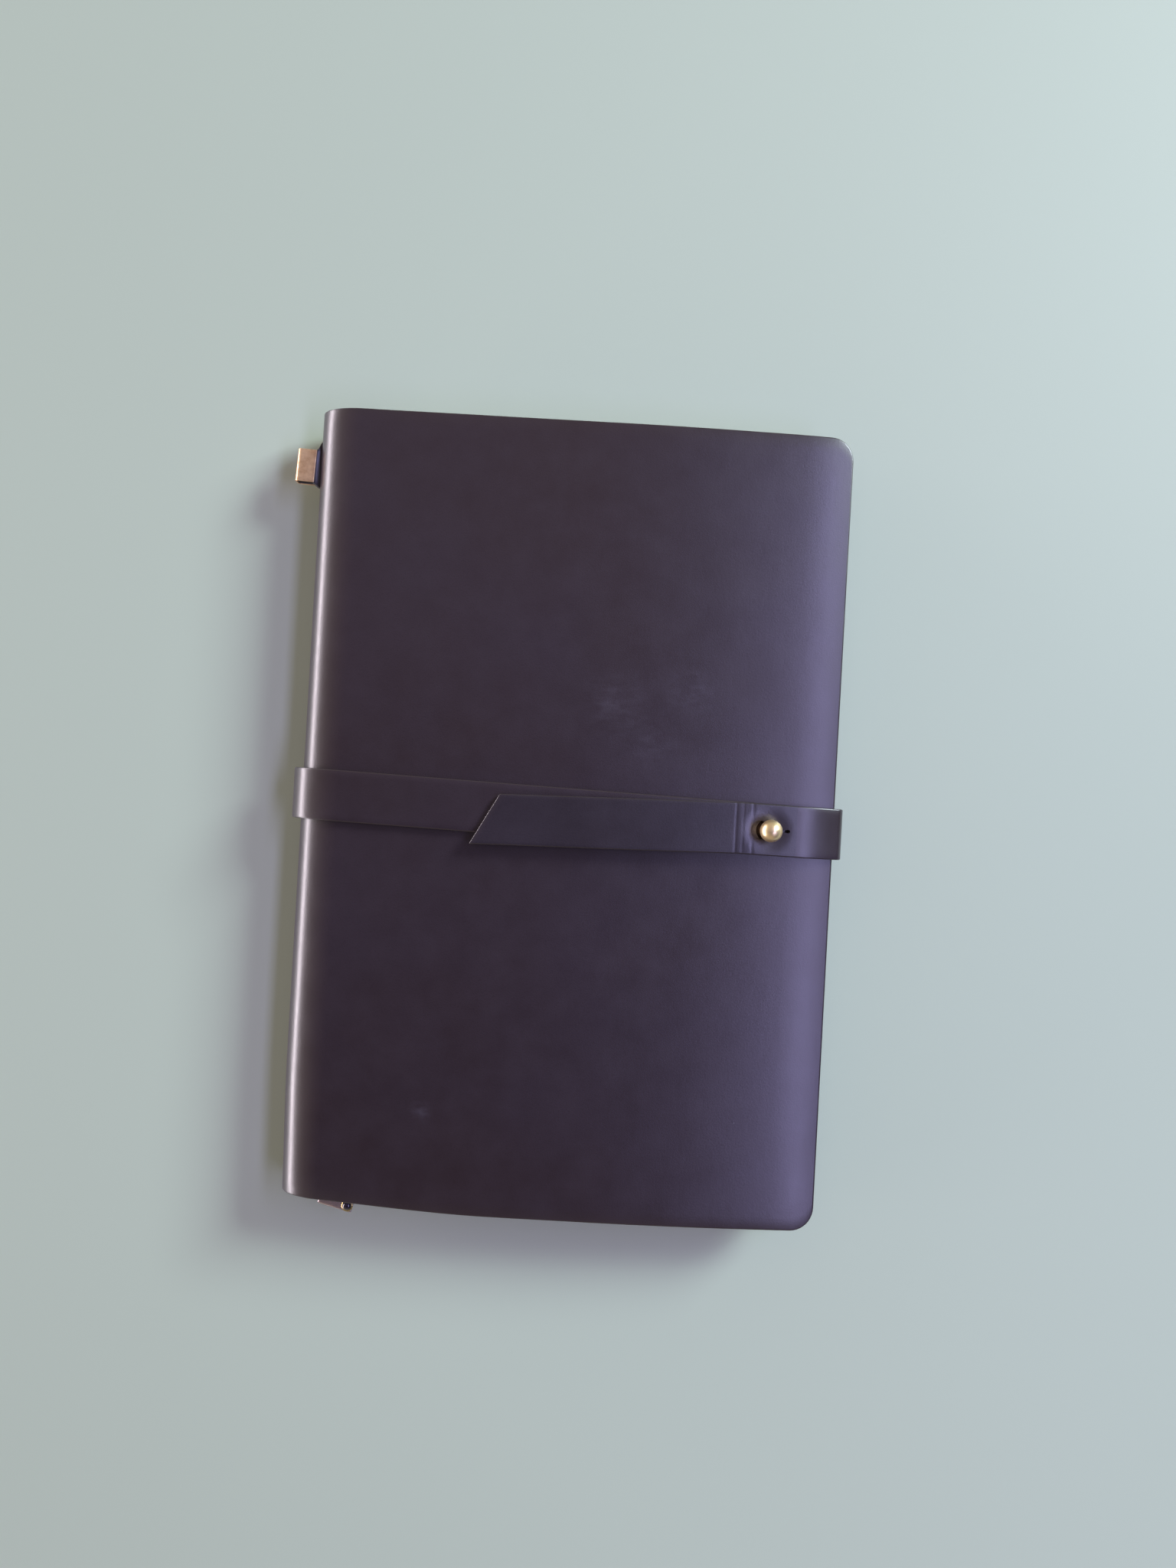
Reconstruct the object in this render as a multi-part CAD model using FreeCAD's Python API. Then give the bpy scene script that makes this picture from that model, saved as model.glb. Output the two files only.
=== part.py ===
"""A wrap-around leather notebook cover with three stapled booklets, lying closed on its back.

Millimetres. +X runs from the spine to the fore-edge, +Y to the head of the book and +Z up.
The parts are drawn in the cover's own frame: X from the outermost line of the rolled spine, Y from
the middle of the cover's height, and Z from the underside of the back cover. They are moved to the
stored frame, whose origin is the middle of the whole object's underside, as they are exported.
"""

import FreeCAD, Part

import os
from math import atan, cos, degrees, pi, radians, sin, sqrt

from FreeCAD import Vector

# Leather cover, closed
cover_w = 152.0  # rolled spine to fore-edge
cover_h = 224.5  # head to tail
leather_t = 2.0
closed_t = 17.0  # back cover's underside to front cover's top, beside the spine
corner_r = 6.5  # the fore-edge corners
fore_drop = 3.4  # how much the strap pulls the front cover down at the fore-edge
drop_start_x = 82.0  # the front cover is level up to here

# Booklets for half-letter paper, folded and stapled
page_w = 139.7
page_h = 215.9
page_corner_r = 4.0
page_trim = 0.3  # how far the pages stand back from their cover's open edges
kraft_t = 0.3
fold_x = 9.0  # the folds of the booklets
booklet_3_z = (leather_t, 6.0)
booklet_2_back_z = (6.05, 8.0)
booklet_2_front_z = (8.5, 10.45)
booklet_1_z = (10.75, closed_t - leather_t - 0.05)
leaf_pivot_z = 9.6  # booklet 2 opens about this line of its fold, high enough to pass over the pen loop

# Wrap-around strap
strap_w = 14.3
strap_t = 2.0
strap_y_spine = 3.3  # the strap's middle where it goes round the spine
strap_y_fore = -0.1  # and where it goes round the fore-edge
edge_gap = 0.3  # between the strap and the cover's fore-edge
layer_gap = 0.2  # between the strap's tail and what it lies on
fold_gap = 0.1  # between the two sides of a fold
base_end_x = 139.5  # the strap's fastened end, under its own tail
crease_x = 125.0  # where the tail bends when it is lifted off the stud
tail_slant = ((57.5, 6.1), (49.7, -8.2))  # head and foot of the slanted cut end
tail_y_crease = 0.35  # the tail's middle at the crease

# Ball stud
stud_x = 132.2  # the foot of its axis, which leans with the front cover
stud_y = 0.05
ball_r = 3.1
neck_r = 1.6
flange_r = 3.0
flange_t = 0.6
screw_r = 4.0
screw_t = 1.0
driver_slot = (0.8, 0.4)  # width and depth
neck_play = 0.4  # from the strap's tail to the ball
buttonhole_r = 1.95
slit_l = 6.1  # from the stud's axis to the end of the slit
slit_w = 0.5

# Pen loop and its crimp
loop_y = 97.7  # middle of the loop, above the middle of the cover
loop_w = 13.4
loop_wall = 0.8
loop_inside_x = 4.2
loop_inside_z = 4.4
loop_x = 5.6  # middle of the loop's inside
loop_corner_r = (1.1, 0.3)  # outside and inside
slot_play = 0.1
crimp_w = 5.4
crimp_h = 9.3
crimp_t = 4.4
crimp_wall = 0.55
crimp_bend_r = 1.2
crimp_start = 1.25  # from the spine to the crimp
tab_pivot = 0.7  # from the spine to the line where the tab flexes

# Elastic cords
cord_r = 0.8
cord_play = 0.06
cord_hole_y = (105.6, 109.2)  # each pair of holes in the spine, above and below its middle
gutter_x = 7.6  # where the cords run between the spine and the folds
hook_r = 1.6
cord_2_place = (2.2, 7.6)  # from the fold, and up: sunk in the back half of booklet 2
hole_angle = 209.0  # on the lower half of the rolled spine

# Bookmark
ribbon_w = 8.0
ribbon_t = 0.3
ribbon_x = 17.0
ribbon_lean = 0.2  # how far its foot stands nearer the fore-edge than its head
mark_w = 10.0
mark_l = 5.7
mark_t = 1.4
mark_tilt = 14.0
bead_r = 1.1
bead_inset = (0.85, 1.7)  # from the clamp's right edge and lower edge

# Staples
staple_y = 68.0
staple_l = 12.0
staple_wire_r = 0.25
staple_leg = 1.5

# Blocks that cut or are cut reach well past the object
plan_reach = 20.0
strap_reach = 30.0
page_reach = 150.0

# Derived places
outer_r = closed_t / 2
inner_r = outer_r - leather_t
centre_x = outer_r
centre_z = outer_r
hinge_reach = outer_r / sqrt(2)
fore_x = cover_w + edge_gap + strap_t / 2
front_fold = 135.0  # the places of the two folds round the roll, in degrees
back_fold = 225.0


def at(x, z, y=0.0):
    return Vector(x, y, z)


def sag(x):
    """How far the front cover has come down at x."""
    if x <= drop_start_x:
        return 0.0
    return fore_drop * ((x - drop_start_x) / (cover_w - drop_start_x)) ** 2


def level(z, x):
    """Height at x of the surface that is at z beside the spine: it follows the front cover's fall
    in proportion to its place between the two covers."""
    share = (z - leather_t) / (closed_t - 2 * leather_t)
    return z - sag(x) * min(max(share, 0.0), 1.0)


def slope(z, x):
    """The surface's fall at x, as an angle in radians."""
    step = 0.01
    return atan((level(z, x - step) - level(z, x + step)) / (2 * step))


def line(a, b):
    return Part.LineSegment(a, b).toShape()


def arc(a, b, c):
    return Part.Arc(a, b, c).toShape()


def level_edges(z, x0, x1):
    """The surface at z from x0 to x1: level, then one arc down to the fore-edge."""
    edges = []
    start = x0
    if x0 < drop_start_x:
        start = min(drop_start_x, x1)
        edges.append(line(at(x0, level(z, x0)), at(start, level(z, start))))
    if x1 > start:
        middle = (start + x1) / 2
        ends = at(start, level(z, start)), at(x1, level(z, x1))
        if level(z, start) - level(z, x1) < 1e-6:
            edges.append(line(*ends))
        else:
            edges.append(arc(ends[0], at(middle, level(z, middle)), ends[1]))
    return edges


def roll_point(radius, angle):
    """A point of the rolled spine: 180 is outermost, 90 is the top and 270 the bottom."""
    turn = radians(angle)
    return at(centre_x + radius * cos(turn), centre_z + radius * sin(turn))


def roll_arc(radius, a, b):
    return arc(roll_point(radius, a), roll_point(radius, (a + b) / 2), roll_point(radius, b))


def face_of(edges):
    return Part.Face(Part.Wire(Part.__sortEdges__(edges)))


def across(edges, y0, y1):
    """The closed outline in X and Z, extruded along Y."""
    face = face_of(edges)
    face.translate(Vector(0, y0, 0))
    return face.extrude(Vector(0, y1 - y0, 0))


def plan(points, z0=-50.0, z1=50.0):
    """An upright prism on the polygon of (x, y) points."""
    corners = [Vector(x, y, z0) for x, y in points]
    face = Part.Face(Part.makePolygon(corners + corners[:1]))
    return face.extrude(Vector(0, 0, z1 - z0))


def rounded_plan(x0, x1, height, radius):
    """An upright prism whose two fore-edge corners are round."""
    block = Part.makeBox(x1 - x0, height, 100.0, Vector(x0, -height / 2, -50.0))
    corners = [
        e
        for e in block.Edges
        if abs(e.Vertexes[0].Z - e.Vertexes[1].Z) > 1 and e.Vertexes[0].X > x1 - 1e-6
    ]
    return block.makeFillet(radius, corners)


def joined(shapes):
    return shapes[0].multiFuse(list(shapes[1:])).removeSplitter()


def solid_of(shape):
    """The one solid that a boolean left, outside its compound."""
    if len(shape.Solids) != 1:
        raise ValueError(f"{len(shape.Solids)} solids where one was meant")
    return shape.Solids[0]


def cylinder(radius, a, b):
    return Part.makeCylinder(radius, (b - a).Length, a, b - a)


def swept(radius, edges):
    """A round tube along straight runs and the arcs between them."""
    path = Part.Wire(edges)
    start = edges[0].valueAt(edges[0].FirstParameter)
    heading = edges[0].tangentAt(edges[0].FirstParameter)
    ring = Part.Wire(Part.makeCircle(radius, start, heading))
    return solid_of(path.makePipeShell([ring], True, True))


# Leather cover


def fold_turn():
    """Half the gap at a fold of the cover, as an angle in degrees."""
    return degrees(fold_gap / 2 / outer_r)


def stud_frame():
    """Stands a shape made about +Z on the front cover, at the stud."""
    tilt = FreeCAD.Rotation(Vector(0, 1, 0), degrees(slope(closed_t, stud_x)))
    return FreeCAD.Placement(at(stud_x, level(closed_t, stud_x), stud_y), tilt)


def on_stud(shape):
    shape.Placement = stud_frame().multiply(shape.Placement)
    return shape


def screw_hole():
    """The stud screw's way through the leather, with its head's recess on the inside."""
    play = 0.05
    shank = Part.makeCylinder(neck_r + play, leather_t + 2, Vector(0, 0, -leather_t - 1))
    head = Part.makeCylinder(screw_r + play, screw_t + 1, Vector(0, 0, -leather_t - 1))
    return on_stud(shank.fuse(head))


def front_cover():
    start = 90.0
    end = front_fold - fold_turn()
    inside = closed_t - leather_t
    outline = level_edges(closed_t, centre_x, cover_w) + level_edges(inside, centre_x, cover_w)
    outline += [line(at(cover_w, level(closed_t, cover_w)), at(cover_w, level(inside, cover_w)))]
    outline += [roll_arc(outer_r, start, end), roll_arc(inner_r, start, end)]
    outline += [line(roll_point(outer_r, end), roll_point(inner_r, end))]
    sheet = across(outline, -cover_h / 2, cover_h / 2)
    return solid_of(sheet.common(rounded_plan(-plan_reach, cover_w, cover_h, corner_r)).cut(screw_hole()))


def back_cover():
    start = back_fold + fold_turn()
    end = 270.0
    outline = [line(at(centre_x, 0.0), at(cover_w, 0.0))]
    outline += [line(at(cover_w, 0.0), at(cover_w, leather_t))]
    outline += [line(at(cover_w, leather_t), at(centre_x, leather_t))]
    outline += [roll_arc(outer_r, start, end), roll_arc(inner_r, start, end)]
    outline += [line(roll_point(outer_r, start), roll_point(inner_r, start))]
    sheet = across(outline, -cover_h / 2, cover_h / 2)
    return solid_of(sheet.common(rounded_plan(-plan_reach, cover_w, cover_h, corner_r)))


def roll_sector(radius_in, radius_out, a, b, y0, y1):
    outline = [roll_arc(radius_out, a, b), roll_arc(radius_in, a, b)]
    outline += [line(roll_point(radius_in, angle), roll_point(radius_out, angle)) for angle in (a, b)]
    return across(outline, y0, y1)


def spine():
    """The rolled back between the two folds, with the pen loop's slot and the cords' holes."""
    folds = front_fold + fold_turn(), back_fold - fold_turn()
    shape = roll_sector(inner_r, outer_r, *folds, -cover_h / 2, cover_h / 2)
    slot_y = loop_w / 2 + slot_play
    slot_z = loop_wall + slot_play
    corner = Vector(-leather_t, loop_y - slot_y, centre_z - slot_z)
    shape = shape.cut(Part.makeBox(3 * leather_t, 2 * slot_y, 2 * slot_z, corner))
    for side in (-1, 1):
        for y in cord_hole_y:
            inner = roll_point(inner_r - 1, hole_angle) + Vector(0, side * y, 0)
            outer = roll_point(outer_r + 1, hole_angle) + Vector(0, side * y, 0)
            shape = shape.cut(cylinder(cord_r + cord_play, inner, outer))
    return solid_of(shape)


# Strap


def strap_middle(x):
    """The Y of the strap's middle, on its way from the spine to the fore-edge."""
    return strap_y_spine + (strap_y_fore - strap_y_spine) * x / cover_w


def strap_band(x0, x1):
    """The strap seen from above, between x0 and x1."""
    half = strap_w / 2
    return plan(
        [
            (x0, strap_middle(x0) - half),
            (x1, strap_middle(x1) - half),
            (x1, strap_middle(x1) + half),
            (x0, strap_middle(x0) + half),
        ]
    )


def strap_front_run():
    """From the stud over the front cover to the fold of the spine."""
    end = front_fold - fold_turn()
    top = closed_t + strap_t
    over = outer_r + strap_t
    outline = level_edges(closed_t, centre_x, cover_w) + level_edges(top, centre_x, cover_w)
    outline += [line(at(cover_w, level(closed_t, cover_w)), at(cover_w, level(top, cover_w)))]
    outline += [roll_arc(outer_r, 90.0, end), roll_arc(over, 90.0, end)]
    outline += [line(roll_point(outer_r, end), roll_point(over, end))]
    shape = across(outline, -strap_reach, strap_reach).common(strap_band(-plan_reach, base_end_x))
    flange_seat = Part.makeCylinder(flange_r + 0.05, flange_t + 3, Vector(0, 0, strap_t - flange_t))
    shank = Part.makeCylinder(neck_r + 0.05, strap_t + 4, Vector(0, 0, -2))
    return solid_of(shape.cut(on_stud(flange_seat.fuse(shank))))


def strap_spine_run():
    """Round the spine, over the leather between the two folds."""
    folds = front_fold + fold_turn(), back_fold - fold_turn()
    shape = roll_sector(outer_r, outer_r + strap_t, *folds, -strap_reach, strap_reach)
    return solid_of(shape.common(strap_band(-plan_reach, centre_x)))


def strap_back_run():
    """Under the back cover, on which the whole book rests."""
    start = back_fold + fold_turn()
    over = outer_r + strap_t
    end_x = fore_x - strap_t / 2 - fold_gap
    outline = [line(at(centre_x, 0.0), at(end_x, 0.0))]
    outline += [line(at(end_x, 0.0), at(end_x, -strap_t))]
    outline += [line(at(end_x, -strap_t), at(centre_x, -strap_t))]
    outline += [roll_arc(outer_r, start, 270.0), roll_arc(over, start, 270.0)]
    outline += [line(roll_point(outer_r, start), roll_point(over, start))]
    band = strap_band(-plan_reach, cover_w + plan_reach)
    return solid_of(across(outline, -strap_reach, strap_reach).common(band))


def tail_pivot_z():
    """Half-way through the strap where it turns over the front cover's edge."""
    return level(closed_t, cover_w) + edge_gap + strap_t / 2


def tail_z(x):
    """Half-way through the tail at x."""
    rise_x = base_end_x
    over_base = closed_t + strap_t + layer_gap + strap_t / 2
    if x <= rise_x:
        return level(over_base, x)
    share = (x - rise_x) / (fore_x - rise_x)
    return level(over_base, rise_x) + (tail_pivot_z() - level(over_base, rise_x)) * share


def rounded_strip(points, round_first):
    """A strap's side view: its middle line thickened, round at the end that turns in a fold."""
    half = strap_t / 2
    upper = [p + at(0, half) for p in points]
    lower = [p - at(0, half) for p in points]
    edges = [line(a, b) for side in (upper, lower) for a, b in zip(side, side[1:])]
    first, last = (0, -1) if round_first else (-1, 0)
    away = half if points[first].x > points[last].x else -half
    edges.append(arc(upper[first], points[first] + at(away, 0), lower[first]))
    edges.append(line(upper[last], lower[last]))
    return edges


def strap_fore_run():
    """Up the fore-edge, between the fold below the back cover and the fold above the front."""
    half = strap_t / 2
    low = -half
    top = tail_pivot_z() - half - fold_gap
    outline = [line(at(fore_x - half, low), at(fore_x - half, top))]
    outline += [line(at(fore_x - half, top), at(fore_x + half, top))]
    outline += [line(at(fore_x + half, top), at(fore_x + half, low))]
    outline += [arc(at(fore_x - half, low), at(fore_x, low - half), at(fore_x + half, low))]
    band = strap_band(cover_w - plan_reach, cover_w + plan_reach)
    return solid_of(across(outline, -strap_reach, strap_reach).common(band))


def tail_band():
    """The tail seen from above, from the fore-edge past the crease to its slanted end."""
    half = strap_w / 2
    (head_x, head_y), (foot_x, foot_y) = tail_slant
    right = cover_w + plan_reach
    return plan(
        [
            (foot_x, foot_y),
            (crease_x, tail_y_crease - half),
            (right, strap_middle(right) - half),
            (right, strap_middle(right) + half),
            (crease_x, tail_y_crease + half),
            (head_x, head_y),
        ]
    )


def strap_tail():
    """Over the fore-edge to the crease, with the buttonhole that the ball stud holds."""
    start = crease_x + strap_t / 2 + fold_gap
    xs = [start, stud_x, base_end_x, fore_x]
    outline = rounded_strip([at(x, tail_z(x)) for x in xs], round_first=False)
    shape = across(outline, -strap_reach, strap_reach).common(tail_band())
    hole = Part.makeCylinder(buttonhole_r, 12, Vector(0, 0, -1))
    slit = Part.makeBox(slit_l, slit_w, 12, Vector(0, -slit_w / 2, -1))
    return solid_of(shape.cut(on_stud(hole.fuse(slit))))


def strap_tip():
    """The free end, from the crease to the slanted cut."""
    far_x = tail_slant[1][0] - strap_w
    xs = [far_x, drop_start_x, (drop_start_x + crease_x) / 2, crease_x]
    outline = rounded_strip([at(x, tail_z(x)) for x in xs], round_first=False)
    return solid_of(across(outline, -strap_reach, strap_reach).common(tail_band()))


# Ball stud


def stud_ball():
    """A ball on a neck and a flange, let into the strap."""
    seat = strap_t - flange_t
    ball_z = 2 * strap_t + layer_gap + neck_play + ball_r
    flange = Part.makeCylinder(flange_r, flange_t, Vector(0, 0, seat))
    neck = Part.makeCylinder(neck_r, ball_z - seat, Vector(0, 0, seat))
    ball = Part.makeSphere(ball_r, Vector(0, 0, ball_z))
    return on_stud(solid_of(joined([flange, neck, ball])))


def stud_screw():
    """The slotted screw that holds the stud from inside the cover."""
    head = Part.makeCylinder(screw_r, screw_t, Vector(0, 0, -leather_t))
    shank_l = leather_t + strap_t - flange_t
    shank = Part.makeCylinder(neck_r, shank_l, Vector(0, 0, -leather_t))
    slot_w, slot_t = driver_slot
    slot = Part.makeBox(2 * screw_r, slot_w, slot_t, Vector(-screw_r, -slot_w / 2, -leather_t))
    return on_stud(solid_of(joined([head, shank]).cut(slot)))


# Pen loop


def loop_block(width, height, radius, y0, y1, x_middle):
    """A box round the loop's axis, with round long edges."""
    corner = Vector(x_middle - width / 2, y0, centre_z - height / 2)
    block = Part.makeBox(width, y1 - y0, height, corner)
    return block.makeFillet(radius, [e for e in block.Edges if abs(e.tangentAt(e.FirstParameter).y) > 0.9])


def pen_loop():
    """A leather band in the gutter, whose two ends go out together through the spine."""
    y0 = loop_y - loop_w / 2
    y1 = loop_y + loop_w / 2
    wide = loop_inside_x + 2 * loop_wall
    high = loop_inside_z + 2 * loop_wall
    outer_corner, inner_corner = loop_corner_r
    ring = loop_block(wide, high, outer_corner, y0, y1, loop_x)
    neck_x = loop_wall + fold_gap - tab_pivot
    neck = Part.makeBox(loop_x - neck_x, loop_w, 2 * loop_wall, Vector(neck_x, y0, centre_z - loop_wall))
    inside = loop_block(loop_inside_x, loop_inside_z, inner_corner, y0 - 1, y1 + 1, loop_x)
    return solid_of(ring.fuse(neck).cut(inside))


def pen_loop_tab():
    """The band's two ends outside the spine, narrowing into the crimp."""
    inner = -tab_pivot
    start = -crimp_start
    end = -crimp_start - crimp_w + crimp_wall + 0.1
    half = loop_w / 2
    held = crimp_h / 2 - 0.1
    outline = [
        (inner + 1, loop_y - half),
        (inner, loop_y - half),
        (start, loop_y - held),
        (end, loop_y - held),
        (end, loop_y + held),
        (start, loop_y + held),
        (inner, loop_y + half),
        (inner + 1, loop_y + half),
    ]
    band = loop_wall
    pack = crimp_t / 2 - crimp_wall
    side = [
        line(at(inner, centre_z - band), at(start, centre_z - pack)),
        line(at(start, centre_z - pack), at(end, centre_z - pack)),
        line(at(end, centre_z - pack), at(end, centre_z + pack)),
        line(at(end, centre_z + pack), at(start, centre_z + pack)),
        line(at(start, centre_z + pack), at(inner, centre_z + band)),
        arc(at(inner, centre_z + band), at(inner + band, centre_z), at(inner, centre_z - band)),
    ]
    body = across(side, loop_y - loop_w, loop_y + loop_w)
    return solid_of(body.common(plan(outline)))


def pen_loop_crimp():
    """A folded brass U that grips the band's two ends."""
    x1 = -crimp_start
    x0 = x1 - crimp_w
    y0 = loop_y - crimp_h / 2
    z0 = centre_z - crimp_t / 2
    block = Part.makeBox(crimp_w, crimp_h, crimp_t, Vector(x0, y0, z0))
    outer_edges = [
        e for e in block.Edges if abs(e.tangentAt(e.FirstParameter).y) > 0.9 and e.Vertexes[0].X < x0 + 1e-6
    ]
    block = block.makeFillet(crimp_bend_r, outer_edges)
    room_t = crimp_t - 2 * crimp_wall
    room = Part.makeBox(crimp_w, crimp_h + 2, room_t, Vector(x0 + crimp_wall, y0 - 1, z0 + crimp_wall))
    return solid_of(block.cut(room))


# Booklets


def booklet_outline(z0, z1, x0, nose_low, nose_high):
    """A booklet's side view: its fold is round below, above or both."""
    far = cover_w
    outline = [line(at(far, level(z0, far)), at(far, level(z1, far)))]
    height = z1 - z0
    if nose_low and nose_high:
        radius = height / 2
        middle = z0 + radius
        outline += level_edges(z0, x0 + radius, far) + level_edges(z1, x0 + radius, far)
        outline += [arc(at(x0 + radius, z0), at(x0, middle), at(x0 + radius, z1))]
        return outline
    bend = height * cos(pi / 4)
    if nose_low:
        outline += level_edges(z0, x0 + height, far) + level_edges(z1, x0, far)
        outline += [arc(at(x0 + height, z0), at(x0 + height - bend, z1 - bend), at(x0, z1))]
    else:
        outline += level_edges(z0, x0, far) + level_edges(z1, x0 + height, far)
        outline += [arc(at(x0 + height, z1), at(x0 + height - bend, z0 + bend), at(x0, z0))]
    return outline


def booklet_block(z0, z1, x0, nose_low, nose_high, trim):
    """A booklet, or half of one, cut to the paper's size less trim at its three open edges."""
    side = booklet_outline(z0, z1, x0, nose_low, nose_high)
    shape = across(side, -page_reach, page_reach)
    outline = rounded_plan(-plan_reach, fold_x + page_w - trim, page_h - 2 * trim, page_corner_r)
    return shape.common(outline)


def cord_line(number):
    """The X and Z of the cord in a booklet's middle fold."""
    if number == 2:
        return fold_x + cord_2_place[0], cord_2_place[1]
    z0, z1 = booklet_1_z if number == 1 else booklet_3_z
    return fold_x + (z1 - z0) / 2 + cord_r, (z0 + z1) / 2


def cord_channel(number, play):
    x, z = cord_line(number)
    return cylinder(cord_r + play, at(x, z, -page_h), at(x, z, page_h))


def booklet_cover(z0, z1, nose_low, nose_high, number, play):
    """The folded kraft sheet round the pages."""
    low = z0 + kraft_t if nose_low else z0
    high = z1 - kraft_t if nose_high else z1
    outer = booklet_block(z0, z1, fold_x, nose_low, nose_high, 0.0)
    side = booklet_outline(low, high, fold_x + kraft_t, nose_low, nose_high)
    inner = across(side, -page_reach, page_reach)
    return solid_of(outer.cut(inner).cut(cord_channel(number, play)))


def booklet_pages(z0, z1, nose_low, nose_high, number, play):
    """The sheets inside, as one block with the cord's channel in its middle fold."""
    low = z0 + kraft_t if nose_low else z0
    high = z1 - kraft_t if nose_high else z1
    block = booklet_block(low, high, fold_x + kraft_t, nose_low, nose_high, page_trim)
    return solid_of(block.cut(cord_channel(number, play)))


def staples(z, legs_from):
    """Two wire staples through a fold: the crown outside, the legs inwards."""
    made = []
    for middle in (-staple_y, staple_y):
        ends = [at(legs_from, z, middle + side * staple_l / 2) for side in (-1, 1)]
        crown = cylinder(staple_wire_r, ends[0], ends[1])
        legs = [cylinder(staple_wire_r, end, end + Vector(staple_leg, 0, 0)) for end in ends]
        knees = [Part.makeSphere(staple_wire_r, end) for end in ends]
        made.append(solid_of(joined([crown] + legs + knees)))
    return Part.makeCompound(made)


# Elastic cords


def hook_edges(number, side):
    """From the spine along the gutter, over the booklet's end and into its middle fold."""
    x_fold, z = cord_line(number)
    start_x = centre_x - sqrt((inner_r - 0.1) ** 2 - (abs(z - centre_z) + cord_r) ** 2)
    turn_y = page_h / 2 + 0.25
    bend = (x_fold - gutter_x) / 2
    corner = hook_r * (1 - cos(pi / 4))
    hole_y = cord_hole_y[0]
    a = Vector(start_x, side * hole_y, z)
    b = Vector(gutter_x - hook_r, side * hole_y, z)
    b_mid = Vector(gutter_x - corner, side * (hole_y + corner), z)
    c = Vector(gutter_x, side * (hole_y + hook_r), z)
    d = Vector(gutter_x, side * turn_y, z)
    d_mid = Vector(gutter_x + bend, side * (turn_y + bend), z)
    e = Vector(x_fold, side * turn_y, z)
    return [line(a, b), arc(b, b_mid, c), line(c, d), arc(d, d_mid, e)], e


def elastic_cord(number):
    """One stretched cord: a hook at each end of the spine and the run in the booklet's fold."""
    head, head_end = hook_edges(number, 1)
    foot, foot_end = hook_edges(number, -1)
    return swept(cord_r, head + [line(head_end, foot_end)] + foot[::-1])


def elastic_bridge(side):
    """The cord's short stretch outside the spine, between its two holes."""
    ride = outer_r + cord_r + 0.05
    ys = [side * y for y in cord_hole_y]
    outside = [roll_point(ride, hole_angle) + Vector(0, y, 0) for y in ys]
    inside = [roll_point(inner_r + 0.3, hole_angle) + Vector(0, y, 0) for y in ys]
    legs = [cylinder(cord_r, a, b) for a, b in zip(inside, outside)]
    knees = [Part.makeSphere(cord_r, point) for point in outside]
    return solid_of(joined([cylinder(cord_r, *outside)] + legs + knees))


# Bookmark


def ribbon_level():
    """Half-way through the ribbon, just above the back half of booklet 2."""
    return booklet_2_back_z[1] + 0.02 + ribbon_t / 2


def bookmark_ribbon():
    """A flat ribbon from the head of the gutter down between the pages and out at the foot."""
    half = ribbon_w / 2
    top = page_h / 2 + 2.0
    foot = -page_h / 2 - 3.0
    outline = [
        (ribbon_x - half, top),
        (ribbon_x - half + ribbon_lean, foot),
        (ribbon_x + half + ribbon_lean, foot),
        (ribbon_x + half, top),
    ]
    return solid_of(plan(outline, ribbon_level() - ribbon_t / 2, ribbon_level() + ribbon_t / 2))


def bookmark_place():
    middle = Vector(ribbon_x + ribbon_lean, -page_h / 2 - 1.65, ribbon_level())
    return FreeCAD.Placement(middle, FreeCAD.Rotation(Vector(0, 0, 1), -mark_tilt))


def bookmark_clamp():
    """A folded metal clamp across the ribbon's end."""
    block = Part.makeBox(mark_w, mark_l, mark_t, Vector(-mark_w / 2, -mark_l, -mark_t / 2))
    fold = [
        e
        for e in block.Edges
        if abs(e.tangentAt(e.FirstParameter).x) > 0.9 and e.Vertexes[0].Y < -mark_l + 0.1
    ]
    block = block.makeFillet(mark_t / 2 - 0.05, fold)
    block.Placement = bookmark_place()
    return solid_of(block)


def bookmark_bead():
    """A small glass bead set on the clamp's corner."""
    in_x, in_y = bead_inset
    bead = Part.makeSphere(bead_r, Vector(mark_w / 2 - in_x, in_y - mark_l, mark_t / 2 + bead_r / 2))
    bead.Placement = bookmark_place().multiply(bead.Placement)
    return bead


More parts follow.
